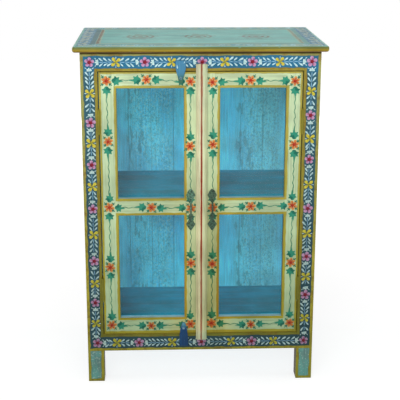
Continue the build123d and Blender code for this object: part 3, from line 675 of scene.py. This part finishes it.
# the side panels get painted shade towards the floor
panel_finish = plain_paint("turquoise_panel_paint", TURQUOISE, "z", shaded_low=True, wear=0.7,
                           worn_colour="#9DB59A")
inner_finish = plain_paint("teal_shelf_paint", TEAL, "x", wear=0.3, worn_colour="#5CA4AC",
                           roughness=0.6, streak_mm=26.0, tone=(0.76, 1.28), dirt=0.0)
batten_finish = plain_paint("teal_batten_paint", TEAL, "y", wear=0.4, worn_colour="#5C8C90")
# the hinges get painted shade towards the floor
hinge_finish = plain_paint("ochre_painted_hinge_iron", INNER_OCHRE[0], "z", shaded_low=True, wear=0.5,
                           worn_colour="#6E6A48")
dull_steel = old_iron("dull_steel_screws", ("#55524C", "#8A867C"), 0.4)
# the right handle's iron is given darker tones than the left's
handle_iron = {
    "left": old_iron("forged_iron_green_patina", ("#2A4236", "#628C74"), 0.6, ("#22352A", "#4E6E58")),
    "right": old_iron("forged_iron_darker_tones", ("#203224", "#486650"), 0.6, ("#1C2C22", "#40604C")),
}
planks = plank_paint()
window_glass = clear_glass()
moulding = bead_paint()
boards = top_paint()

for depth in ("front", "back"):
    for side in ("left", "right"):
        dress(f"{depth}_{side}_post", upright_case)
    for level in ("top", "bottom"):
        dress(f"{depth}_{level}_rail", level_case)
for place_name in ("front", "middle", "back"):
    dress(f"{place_name}_top_board", boards)
for side in ("left", "right"):
    for level in ("top", "bottom"):
        dress(f"{side}_side_{level}_rail", side_case)
    dress(f"{side}_side_panel", panel_finish)
    dress(f"{side}_meeting_bead", moulding)
    for batten in ("shelf", "floor"):
        dress(f"{side}_{batten}_batten", batten_finish)
    for leaves in ("post", "door"):
        dress(f"{side}_{leaves}_hinge_leaves", hinge_finish)
    dress(f"{side}_door_hinge_screws", dull_steel)
    dress(f"{side}_door_handle", handle_iron[side])
    dress(f"{side}_handle_nails", handle_iron[side])
    upright_door = door_paint(f"{side}_door_cream_paint_upright", doors[side], "z")
    level_door = door_paint(f"{side}_door_cream_paint_level", doors[side], "x")
    for stile in ("hinge", "meeting"):
        dress(f"{side}_door_{stile}_stile", upright_door)
    for level in ("top", "middle", "bottom"):
        dress(f"{side}_door_{level}_rail", level_door)
    for pane in ("upper", "lower"):
        dress(f"{side}_door_{pane}_glass", window_glass)
    dress(f"{side}_door_glazing_beads", planks)
for node_name in ("top_door_stop", "bottom_door_stop", "middle_shelf", "floor_board"):
    dress(node_name, inner_finish)
dress("back_planks", planks)
dress("hinge_pins", hinge_finish)
dress("post_hinge_screws", dull_steel)
dress("turn_button_screws", old_iron("blue_painted_screws", ("#3E5E72", "#7698A8")))
dress("upper_turn_button", button_paint("upper_turn_button_paint", "#44765E", 974.0, "#4A86A8", 1006.0))
dress("lower_turn_button", button_paint("lower_turn_button_paint", "#4A7C8C", 200.0, "#17395C", 180.0))

# ------------------------------------------------------------------ brush marks, each modelled once

PAINT = 0.35 * MM                # the height of a mark, and how far it may sink into the face
SINK = 0.06 * MM
DOME = ((0.65, 0.82), (0.35, 0.5))       # rises of a dome of paint, each with how far it draws in


def deselect():
    """Nothing selected."""
    for piece in bpy.context.selected_objects:
        piece.select_set(False)


def pick(piece, test):
    """In edit mode, select the vertices whose place passes the test."""
    mesh = bmesh.from_edit_mesh(piece.data)
    for part in (mesh.faces, mesh.edges, mesh.verts):
        for item in part:
            item.select = False
    for vertex in mesh.verts:
        vertex.select = test(vertex.co)
    mesh.select_flush(True)
    bmesh.update_edit_mesh(piece.data)


def resize(x, y, z):
    """Scale what is selected, about the origin."""
    bpy.ops.transform.resize(value=(x, y, z), center_override=(0, 0, 0))


def flat_start(name, vertices):
    """A round blank one unit across, open for editing."""
    deselect()
    bpy.ops.mesh.primitive_circle_add(vertices=vertices, radius=0.5, fill_type="NGON")
    piece = bpy.context.object
    piece.name = name
    bpy.ops.object.mode_set(mode="EDIT")
    return piece


def heap(length, width, height, steps=DOME):
    """Raise the blank into a low dome of paint, size it, and leave it all selected."""
    bpy.ops.mesh.select_all(action="SELECT")
    for rise, shrink in steps:
        bpy.ops.mesh.extrude_region_move(TRANSFORM_OT_translate={"value": (0, 0, rise)})
        resize(shrink, shrink, 1)
    bpy.ops.mesh.select_all(action="SELECT")
    resize(length, width, height)
    bpy.ops.mesh.normals_make_consistent(inside=False)


def dab(name, size, height):
    """A round dab of paint centred on the origin."""
    piece = flat_start(name, 12)
    heap(size, size, height)
    bpy.ops.object.mode_set(mode="OBJECT")
    bpy.ops.object.shade_smooth()
    return piece


def brush_mark(name, length, width, height, narrowing=0.5, sides=12):
    """One press of a round brush along +X from the origin: it sets off thin and lifts off full."""
    piece = flat_start(name, sides)
    heap(length, width, height)
    for share in (0.15, -0.1, -0.3, -0.42):
        pick(piece, lambda at: at.x < length * share)
        resize(1, narrowing ** 0.5, 1)
    bpy.ops.mesh.select_all(action="SELECT")
    bpy.ops.transform.translate(value=(length / 2, 0, 0))
    bpy.ops.object.mode_set(mode="OBJECT")
    bpy.ops.object.shade_smooth()
    return piece


# bearings round a leaf from its tip, in degrees, and how far the edge is drawn out or in at each
LEAF_LOBES = {0: 1.55, 51.4: 1.02, 102.9: 1.0, 154.3: 0.76}
LEAF_NOTCHES = {25.7: 0.62, 77.1: 0.66, 128.6: 0.62, 180: 0.8}


def vine_leaf(name, length, width, height):
    """A seven-pointed leaf: stalk near the origin, tip at +X. The blank's first vertex is at +Y."""
    piece = flat_start(name, 14)
    for bearing, share in (LEAF_LOBES | LEAF_NOTCHES).items():

        def at_bearing(at):
            turn = abs(math.degrees(math.atan2(at.x, at.y)))
            return abs(turn - bearing) < 5

        bpy.ops.mesh.select_all(action="DESELECT")
        pick(piece, at_bearing)
        resize(share, share, 1)
    heap(width, length, height, ((0.7, 0.86), (0.3, 0.4)))
    bpy.ops.mesh.select_all(action="SELECT")
    bpy.ops.transform.translate(value=(0, length * 0.3, 0))
    bpy.ops.object.mode_set(mode="OBJECT")
    piece.data.transform(Matrix.Rotation(-math.pi / 2, 4, "Z"))
    return piece


def stamp(mark, matrix):
    """A copy of a mark with its own mesh, put where the matrix says."""
    copy = mark.copy()
    copy.data = mark.data.copy()
    copy.data.transform(matrix)
    bpy.context.collection.objects.link(copy)
    return copy


def joined(pieces, name):
    """Several marks as one piece."""
    deselect()
    for piece in pieces:
        piece.select_set(True)
    bpy.context.view_layer.objects.active = pieces[0]
    if len(pieces) > 1:
        bpy.ops.object.join()
    pieces[0].name = name
    pieces[0].data.name = name
    return pieces[0]


def whorl(name, mark, count, start, reach):
    """Marks set evenly round a flower's heart."""
    ring = []
    for index in range(count):
        turn = Matrix.Rotation(start + 2 * math.pi * index / count, 4, "Z")
        ring.append(stamp(mark, turn @ Matrix.Translation((reach, 0, 0))))
    bpy.data.objects.remove(mark)
    return joined(ring, name)


def fan(name, mark, spread, lengths, roots):
    """Marks that open like a bud from one stalk, each with its own length and root."""
    middle = (len(lengths) - 1) / 2
    ribs = []
    for index, (length, root) in enumerate(zip(lengths, roots)):
        turn = Matrix.Rotation((index - middle) * spread, 4, "Z")
        ribs.append(stamp(mark, Matrix.Translation((root, 0, 0)) @ turn @ Matrix.Scale(length, 4)))
    bpy.data.objects.remove(mark)
    return joined(ribs, name)


def orange_centre():
    """A vermilion heart with short rays between the petals."""
    ray = brush_mark("ray", 6.5 * MM, 2.0 * MM, PAINT * 1.4, 0.7, 8)
    rays = whorl("rays", ray, 6, math.pi / 6, 4.0 * MM)
    return joined([dab("orange_heart", 11 * MM, PAINT * 1.5), rays], "orange_heart")


BUD_LENGTH = 12.5 * MM
STEM_LENGTH = 15 * MM

marks = {
    "pink_petals": whorl("pink_petals", brush_mark("petal", 12.5 * MM, 12.5 * MM, PAINT, 0.82), 5,
                         math.pi / 2, 3.4 * MM),
    "pink_heart": dab("pink_heart", 12.5 * MM, PAINT * 1.9),
    "yellow_petals": whorl("yellow_petals", brush_mark("petal", 16.5 * MM, 11.5 * MM, PAINT, 0.72), 4,
                           math.radians(45), 1.0 * MM),
    "yellow_heart": dab("yellow_heart", 7.5 * MM, PAINT * 1.5),
    "orange_petals": whorl("orange_petals", brush_mark("petal", 12.5 * MM, 10.5 * MM, PAINT, 0.8), 6,
                           0.0, 3.0 * MM),
    "orange_heart": orange_centre(),
    "leaf_stroke": brush_mark("leaf_stroke", 17.5 * MM, 6.2 * MM, PAINT, 0.6),
    "tick": brush_mark("tick", 9.5 * MM, 3.8 * MM, PAINT, 0.6, 8),
    "bud": fan("bud", brush_mark("rib", BUD_LENGTH, 6.0 * MM, PAINT * 1.2, 0.6, 10), math.radians(38),
               (0.72, 0.9, 1.0, 0.9, 0.72), (1.5 * MM, 0.5 * MM, 0.0, 0.5 * MM, 1.5 * MM)),
    "stem": brush_mark("stem", STEM_LENGTH, 2.2 * MM, PAINT * 0.7, 0.9, 8),
    "vine_leaf": vine_leaf("vine_leaf", 31 * MM, 31 * MM, PAINT),
    "sprig": fan("sprig", brush_mark("needle", 14 * MM, 4.2 * MM, PAINT * 0.9, 0.95, 8),
                 math.radians(30), (0.7, 1.0, 0.7), (1.0 * MM, 0.0, 1.0 * MM)),
}
for mark in marks.values():
    mark_reach = max(vertex.co.length for vertex in mark.data.vertices)
    plan = mark.data.uv_layers.new(name="plan")
    for loop in mark.data.loops:
        at = mark.data.vertices[loop.vertex_index].co / mark_reach
        plan.data[loop.index].uv = (at.x, at.y)

tempera = {
    "pink_petals": stroke_paint("lilac_pink_tempera", "#B06088", "#C89CC0"),
    "pink_heart": stroke_paint("dark_red_tempera", "#701422", "#8E2438"),
    "yellow_petals": stroke_paint("yellow_tempera", "#9A8E2C", "#D8C848", 0.45),
    "yellow_heart": stroke_paint("olive_tempera", "#85862E", "#A3A03A"),
    "orange_petals": stroke_paint("orange_tempera", "#C4562A", "#E09450"),
    "orange_heart": stroke_paint("vermilion_tempera", "#A0241A", "#B83A24"),
    "leaf_stroke": stroke_paint("pale_blue_white_tempera", "#8CBCCC", "#C4E4E6", 0.45, **CHALK_SHADE),
    "tick": stroke_paint("white_tempera", "#A8D0D6", "#CCE6E4", **CHALK_SHADE),
    "bud": stroke_paint("greenish_white_tempera", "#A6D2D6", "#D0EAE6", **CHALK_SHADE),
    "stem": stroke_paint("sky_blue_tempera", "#6FA6D0", "#94C2DE", **CHALK_SHADE),
    "vine_leaf": stroke_paint("leaf_green_tempera", "#1F6E5C", "#37957A"),
    "sprig": stroke_paint("dark_green_tempera", "#2E6E56", "#3F8066"),
}


class Surface:
    """A flat painted face: where its own X, Y and outward Z lie, and the marks laid on it."""

    def __init__(self, name, body, origin, along, out):
        self.name = name
        self.body = body
        across = Vector(out).cross(Vector(along))
        self.matrix = Matrix.Translation(origin) @ Matrix((along, across, out)).transposed().to_4x4()
        self.laid = {}

    def lay(self, mark, x, y, angle=0.0, size=1.0, sway=0.07):
        """Lay a mark at a place on the face, with a hand's small error in turn and size."""
        angle += dice.uniform(-sway, sway)
        size *= 1 + dice.uniform(-0.06, 0.06)
        local = Matrix.Translation((x, y, -dice.uniform(0.5, 1.0) * SINK))
        turned = local @ Matrix.Rotation(angle, 4, "Z") @ Matrix.Diagonal((size, size, 1, 1))
        self.laid.setdefault(mark, []).append(self.matrix @ turned)

    def finish(self):
        """Make one piece of each kind of mark and hang it on its body."""
        for mark, places in self.laid.items():
            piece = joined([stamp(marks[mark], matrix) for matrix in places], f"{self.name}_{mark}")
            cover(piece, tempera[mark])
            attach(piece, self.body)


# ------------------------------------------------------------------ the flower borders

FLOWER_REACH = 16 * MM
LEAF_PAIR_PITCH = 14 * MM


def beside(place, angle, reach):
    """The place a given reach away, in a given direction."""
    return place[0] + reach * math.cos(angle), place[1] + reach * math.sin(angle)


def pink_flower(face, place):
    """A pink flower with a dark red heart."""
    face.lay("pink_petals", *place, sway=0.2)
    face.lay("pink_heart", *place)


def yellow_flower(face, place, heading):
    """A yellow four-petalled flower, with a white tick each side of the run."""
    face.lay("yellow_petals", *place, heading, 1.0, 0.14)
    face.lay("yellow_heart", *place)
    for side in (-1, 1):
        angle = heading + side * math.pi / 2
        face.lay("tick", *beside(place, angle, 8 * MM), angle, 0.9)


def spray(face, start, end):
    """A stem from a yellow flower towards a pink one: leaves in pairs, then a bud."""
    run = Vector(end) - Vector(start)
    heading = math.atan2(run.y, run.x)
    bud_at = run.length - FLOWER_REACH - BUD_LENGTH
    first = FLOWER_REACH * 0.75
    pairs = max(1, round((bud_at - first) / LEAF_PAIR_PITCH))
    pitch = (bud_at - first) / pairs
    stem_size = min(1.15, (pitch + 3 * MM) / STEM_LENGTH)
    for index in range(pairs):
        at = first + index * pitch
        face.lay("stem", *beside(start, heading, at - 2 * MM), heading, stem_size)
        for side in (-1, 1):
            root = beside(start, heading, at + dice.uniform(-1.2, 1.2) * MM)
            root = beside(root, heading + side * math.pi / 2, 2.2 * MM)
            face.lay("leaf_stroke", *root, heading + side * 0.66, dice.uniform(0.88, 1.08), 0.14)
    bud = beside(start, heading, bud_at)
    face.lay("bud", *bud, heading, 1.0, 0.14)
    for side in (-1, 1):
        root = beside(bud, heading + side * math.pi / 2, 7.5 * MM)
        face.lay("tick", *beside(root, heading, 7 * MM), heading + side * 0.75, 0.85, 0.2)


def border_run(face, places, ends=True):
    """A run of flowers, pink at both ends, joined by sprays that set out from the yellow ones."""
    run = Vector(places[-1]) - Vector(places[0])
    heading = math.atan2(run.y, run.x)
    for index, place in enumerate(places):
        if index % 2:
            yellow_flower(face, place, heading)
        elif ends or index not in (0, len(places) - 1):
            pink_flower(face, place)
    for index in range(len(places) - 1):
        yellow, pink = (index, index + 1) if index % 2 else (index + 1, index)
        spray(face, places[yellow], places[pink])


def even_places(start, end, count):
    """Evenly spaced places with a hand's small error, from one corner to the next."""
    places = []
    for index in range(count):
        at = Vector(start).lerp(Vector(end), index / (count - 1))
        slip = dice.uniform(-4, 4) * MM if 0 < index < count - 1 else 0.0
        step = (Vector(end) - Vector(start)).normalized() * slip
        places.append((at.x + step.x, at.y + step.y))
    return places


border_half = (case_half + opening_half) / 2 - 2 * MM
border_high = 1031.5 * MM
border_low = 132.5 * MM

# where the flowers lie along each run of the front, from the middle or from the floor
TOP_RUN_MM = (-332, -253, -167, -88, 4, 71, 154, 236, 332)
BOTTOM_RUN_MM = (-329, -267, -196, -91, 3, 98, 164, 234, 332)
LEFT_RUN_MM = (132, 200, 270, 334, 409, 495, 578, 649, 718, 786, 849, 938, 1032)
RIGHT_RUN_MM = (135, 210, 289, 350, 417, 493, 574, 651, 731, 796, 868, 942, 1030)

front_face = Surface("front_border", "case", (0, front_y, 0), (1, 0, 0), (0, -1, 0))
border_run(front_face, [(x * MM, border_high) for x in TOP_RUN_MM])
border_run(front_face, [(x * MM, border_low) for x in BOTTOM_RUN_MM])
border_run(front_face, [(-border_half, z * MM) for z in LEFT_RUN_MM], ends=False)
border_run(front_face, [(border_half, z * MM) for z in RIGHT_RUN_MM], ends=False)
front_face.finish()

button_face = Surface("upper_turn_button_marks", "upper_turn_button",
                      (0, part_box("upper_turn_button")[0].y, 0), (1, 0, 0), (0, -1, 0))
for x, z, bearing, size in ((-72.5, 1025.5, -80, 0.75), (-52.0, 1028.0, 60, 0.45)):
    button_face.lay("leaf_stroke", x * MM, z * MM, math.radians(bearing), size)
button_face.finish()

side_border = (side_half + side_opening_half) / 2
for side_name, sign in (("left", -1), ("right", 1)):
    side_face = Surface(f"{side_name}_side_border", "case", (sign * case_half, case_middle_y, 0),
                        (0, sign, 0), (sign, 0, 0))
    for height in (border_low, border_high):
        border_run(side_face, even_places((-side_border, height), (side_border, height), 7))
    for across in (-side_border, side_border):
        border_run(side_face, even_places((across, border_low), (across, border_high), 13), ends=False)
    side_face.finish()

# ------------------------------------------------------------------ the doors' flowers and vines

VINE_WAVE = 27 * MM
VINE_SWAY = 2 * MM
VINE_RADIUS = 1.25 * MM
VINE_FLATNESS = 0.16             # thin enough for a turn button to pass over
SPRIG_ROOT = 9.5 * MM            # these three from the middle of a flower
LEAF_ROOT = 19 * MM
VINE_START = 40 * MM


def vine(face, start, end):
    """A thin wavering vine between two leaves, drawn as one flattened round line."""
    run = Vector(end) - Vector(start)
    heading = math.atan2(run.y, run.x)
    count = max(6, round(run.length / (VINE_WAVE / 5)))
    curve = bpy.data.curves.new("vine", "CURVE")
    curve.dimensions = "3D"
    curve.bevel_depth = VINE_RADIUS
    curve.bevel_resolution = 1
    spline = curve.splines.new("NURBS")
    spline.points.add(count)
    for index in range(count + 1):
        share = index / count
        calm = min(1.0, 5 * share, 5 * (1 - share))
        sway = math.sin(2 * math.pi * share * run.length / VINE_WAVE + dice.uniform(-0.5, 0.5))
        at = beside(start, heading, run.length * share)
        at = beside(at, heading + math.pi / 2, sway * VINE_SWAY * calm)
        spline.points[index].co = (*at, 0, 1)
        spline.points[index].radius = dice.uniform(0.75, 1.15) + (1 - calm) * 0.7
    spline.use_endpoint_u = True
    spline.order_u = 3
    piece = bpy.data.objects.new("vine", curve)
    bpy.context.collection.objects.link(piece)
    deselect()
    piece.select_set(True)
    bpy.context.view_layer.objects.active = piece
    bpy.ops.object.convert(target="MESH")
    piece.data.transform(face.matrix @ Matrix.Diagonal((1, 1, VINE_FLATNESS, 1)))
    return piece


def orange_flower(face, place):
    """An orange flower with a vermilion heart and a sprig in each corner."""
    face.lay("orange_petals", *place, sway=0.5)
    face.lay("orange_heart", *place, sway=0.5)
    for quarter in range(4):
        angle = math.pi / 4 + quarter * math.pi / 2
        face.lay("sprig", *beside(place, angle, SPRIG_ROOT), angle, 1.0, 0.25)


def garland(face, start, end):
    """Between two flowers: a leaf beside each one, and a vine from tip to tip."""
    run = Vector(end) - Vector(start)
    heading = math.atan2(run.y, run.x)
    tips = []
    for flower, bearing in ((start, heading), (end, heading + math.pi)):
        face.lay("vine_leaf", *beside(flower, bearing, LEAF_ROOT), bearing, 1.0, 0.16)
        tips.append(beside(flower, bearing, VINE_START))
    return vine(face, *tips)


# where the flowers lie on each door: across and up each stile, then along each rail from the bottom
DOOR_FLOWERS_MM = {
    "left": {
        "stiles": ((-282, (194, 388, 583, 791, 976)), (-31.5, (194, 399, 578, 775, 973))),
        "rails": ((-157, 190), (-152, 582), (-163, 979)),
    },
    "right": {
        "stiles": ((36, (196, 396, 580, 780, 971)), (284, (194, 398, 585, 778, 973))),
        "rails": ((161, 190), (155, 583), (149, 976)),
    },
}

vine_green = stroke_paint("vine_green_tempera", "#3F8468", "#5A9C7C")
for side, flowers in DOOR_FLOWERS_MM.items():
    face = Surface(f"{side}_door", f"{side}_door", (0, front_y, 0), (1, 0, 0), (0, -1, 0))
    vines = []
    stiles = []
    for x, heights in flowers["stiles"]:
        stiles.append([((x + dice.uniform(-1.5, 1.5)) * MM, z * MM) for z in heights])
    for spots in stiles:
        for spot in spots:
            orange_flower(face, spot)
        for first, second in zip(spots, spots[1:]):
            vines.append(garland(face, first, second))
    for level, (x, z) in enumerate(flowers["rails"]):
        middle = (x * MM, z * MM)
        orange_flower(face, middle)
        outer, inner = stiles[0][2 * level], stiles[1][2 * level]
        vines.append(garland(face, outer, middle))
        vines.append(garland(face, middle, inner))
    face.finish()
    vine_piece = joined(vines, f"{side}_door_vines")
    cover(vine_piece, vine_green)
    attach(vine_piece, f"{side}_door")

for mark in marks.values():
    bpy.data.objects.remove(mark)

# ------------------------------------------------------------------ tongues between the back planks

TONGUE_WIDTH = 3 * MM
TONGUE_DEPTH = 4 * MM

tongue_length = plank_high.z - plank_low.z - 2 * MM
middle = (plank_low + plank_high) / 2
tongues = []
for index in range(1, PLANK_COUNT):
    seam = plank_low.x + (plank_high.x - plank_low.x) * index / PLANK_COUNT
    deselect()
    bpy.ops.mesh.primitive_cube_add(size=1, location=(seam, middle.y, middle.z),
                                    scale=(TONGUE_WIDTH, TONGUE_DEPTH, tongue_length))
    bpy.ops.object.transform_apply()
    tongues.append(bpy.context.object)
tongue_piece = joined(tongues, "back_plank_tongues")
# painted shade: the tongues are darker than the planks, in the seams
cover(tongue_piece, plain_paint("painted_seam_shade", "#4A94A4", "z", wear=0.1))
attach(tongue_piece, "case")

# ------------------------------------------------------------------ studio


FLOOR_FADE_MM = (700.0, 2600.0)          # from the object, over which the floor grows lighter


def seen_or_mirrored(tree):
    """1 for what the camera sees straight, mirrored or through glass, and 0 for the light it sheds."""
    rays = add(tree, "LightPath").outputs
    return add(tree, "max", rays["Is Camera Ray"], rays["Is Glossy Ray"], rays["Is Transmission Ray"])


def glowing_white(name, near, far):
    """A white ground that takes a shadow, lifted for the camera and for what mirrors it."""
    material, tree, _place, coords = new_material(name)
    away = add(tree, "VectorMath", {0: coords}, operation="LENGTH").outputs["Value"]
    diffuse = add(tree, "BsdfDiffuse", {"Color": "#E8E8E6"})
    shaded = add(tree, "BsdfDiffuse", {"Color": "#A0A0A0"})
    strength = add(tree, "ramp", away, *FLOOR_FADE_MM, near, far)
    glow = add(tree, "Emission", {"Color": "#FFFFFF", "Strength": strength})
    lifted = add(tree, "AddShader", {0: shaded, 1: glow})
    shader = add(tree, "MixShader", {0: seen_or_mirrored(tree), 1: diffuse, 2: lifted})
    add(tree, "OutputMaterial", {"Surface": shader})
    return material


deselect()
bpy.ops.mesh.primitive_plane_add(size=14)
floor = bpy.context.object
floor.name = "studio_floor"
floor.data.materials.append(glowing_white("pale_studio_floor", 0.78, 0.98))

world = bpy.data.worlds.new("studio")
bpy.context.scene.world = world
world.use_nodes = True
sky = world.node_tree
sky.nodes.clear()
ambient = add(sky, "Background", {"Color": "#FFFFFF", "Strength": 0.25})
white = add(sky, "Background", {"Color": "#FFFFFF", "Strength": 1.0})
shown = add(sky, "MixShader", {0: seen_or_mirrored(sky), 1: ambient, 2: white})
add(sky, "OutputWorld", {"Surface": shown})


def softbox(name, place, target, width, height, watts, mirrored=False):
    """A flat area lamp that faces a point. Mirror and see-through rays miss it unless it is mirrored."""
    lamp = bpy.data.lights.new(name, "AREA")
    lamp.shape = "RECTANGLE"
    lamp.size = width
    lamp.size_y = height
    lamp.energy = watts
    holder = bpy.data.objects.new(name, lamp)
    holder.visible_glossy = mirrored
    holder.visible_transmission = mirrored
    holder.location = place
    holder.rotation_euler = (Vector(target) - Vector(place)).to_track_quat("-Z", "Y").to_euler()
    bpy.context.collection.objects.link(holder)


softbox("key_lamp", (-1.1, -3.7, 2.3), (0, 0, 0.6), 1.5, 1.2, 40, mirrored=True)
softbox("front_lamp", (0.1, -4.1, 1.0), (0, 0, 0.55), 2.2, 0.5, 64)
softbox("top_lamp", (0.0, -0.6, 3.4), (0, 0.1, 1.0), 1.6, 1.6, 20, mirrored=True)
for side, place in (("left", (-4.0, 0.5, 0.62)), ("right", (4.0, 0.5, 0.62)), ("back", (0.0, 4.2, 0.62))):
    softbox(f"{side}_lamp", place, (0, 0.2, 0.58), 2.0, 0.8, 56)

# camera: 3.1 m in front of the doors, held at 1.48 m and tipped down
camera_height = 1.4813
camera_distance = 3.1114
camera_left = 0.1254
camera_pitch = -0.2744
camera_yaw = -0.0395
camera_roll = -0.0019
camera_lens = 94.36

camera_data = bpy.data.cameras.new("camera")
camera_data.lens = camera_lens
camera = bpy.data.objects.new("camera", camera_data)
aim = Matrix.Rotation(camera_yaw, 4, "Z") @ Matrix.Rotation(camera_pitch, 4, "X")
aim = aim @ Matrix.Rotation(camera_roll, 4, "Y") @ Matrix.Rotation(math.pi / 2, 4, "X")
camera.matrix_world = Matrix.Translation((-camera_left, front_y - camera_distance, camera_height)) @ aim
bpy.context.collection.objects.link(camera)
bpy.context.scene.camera = camera
bpy.context.scene.view_settings.view_transform = "Standard"
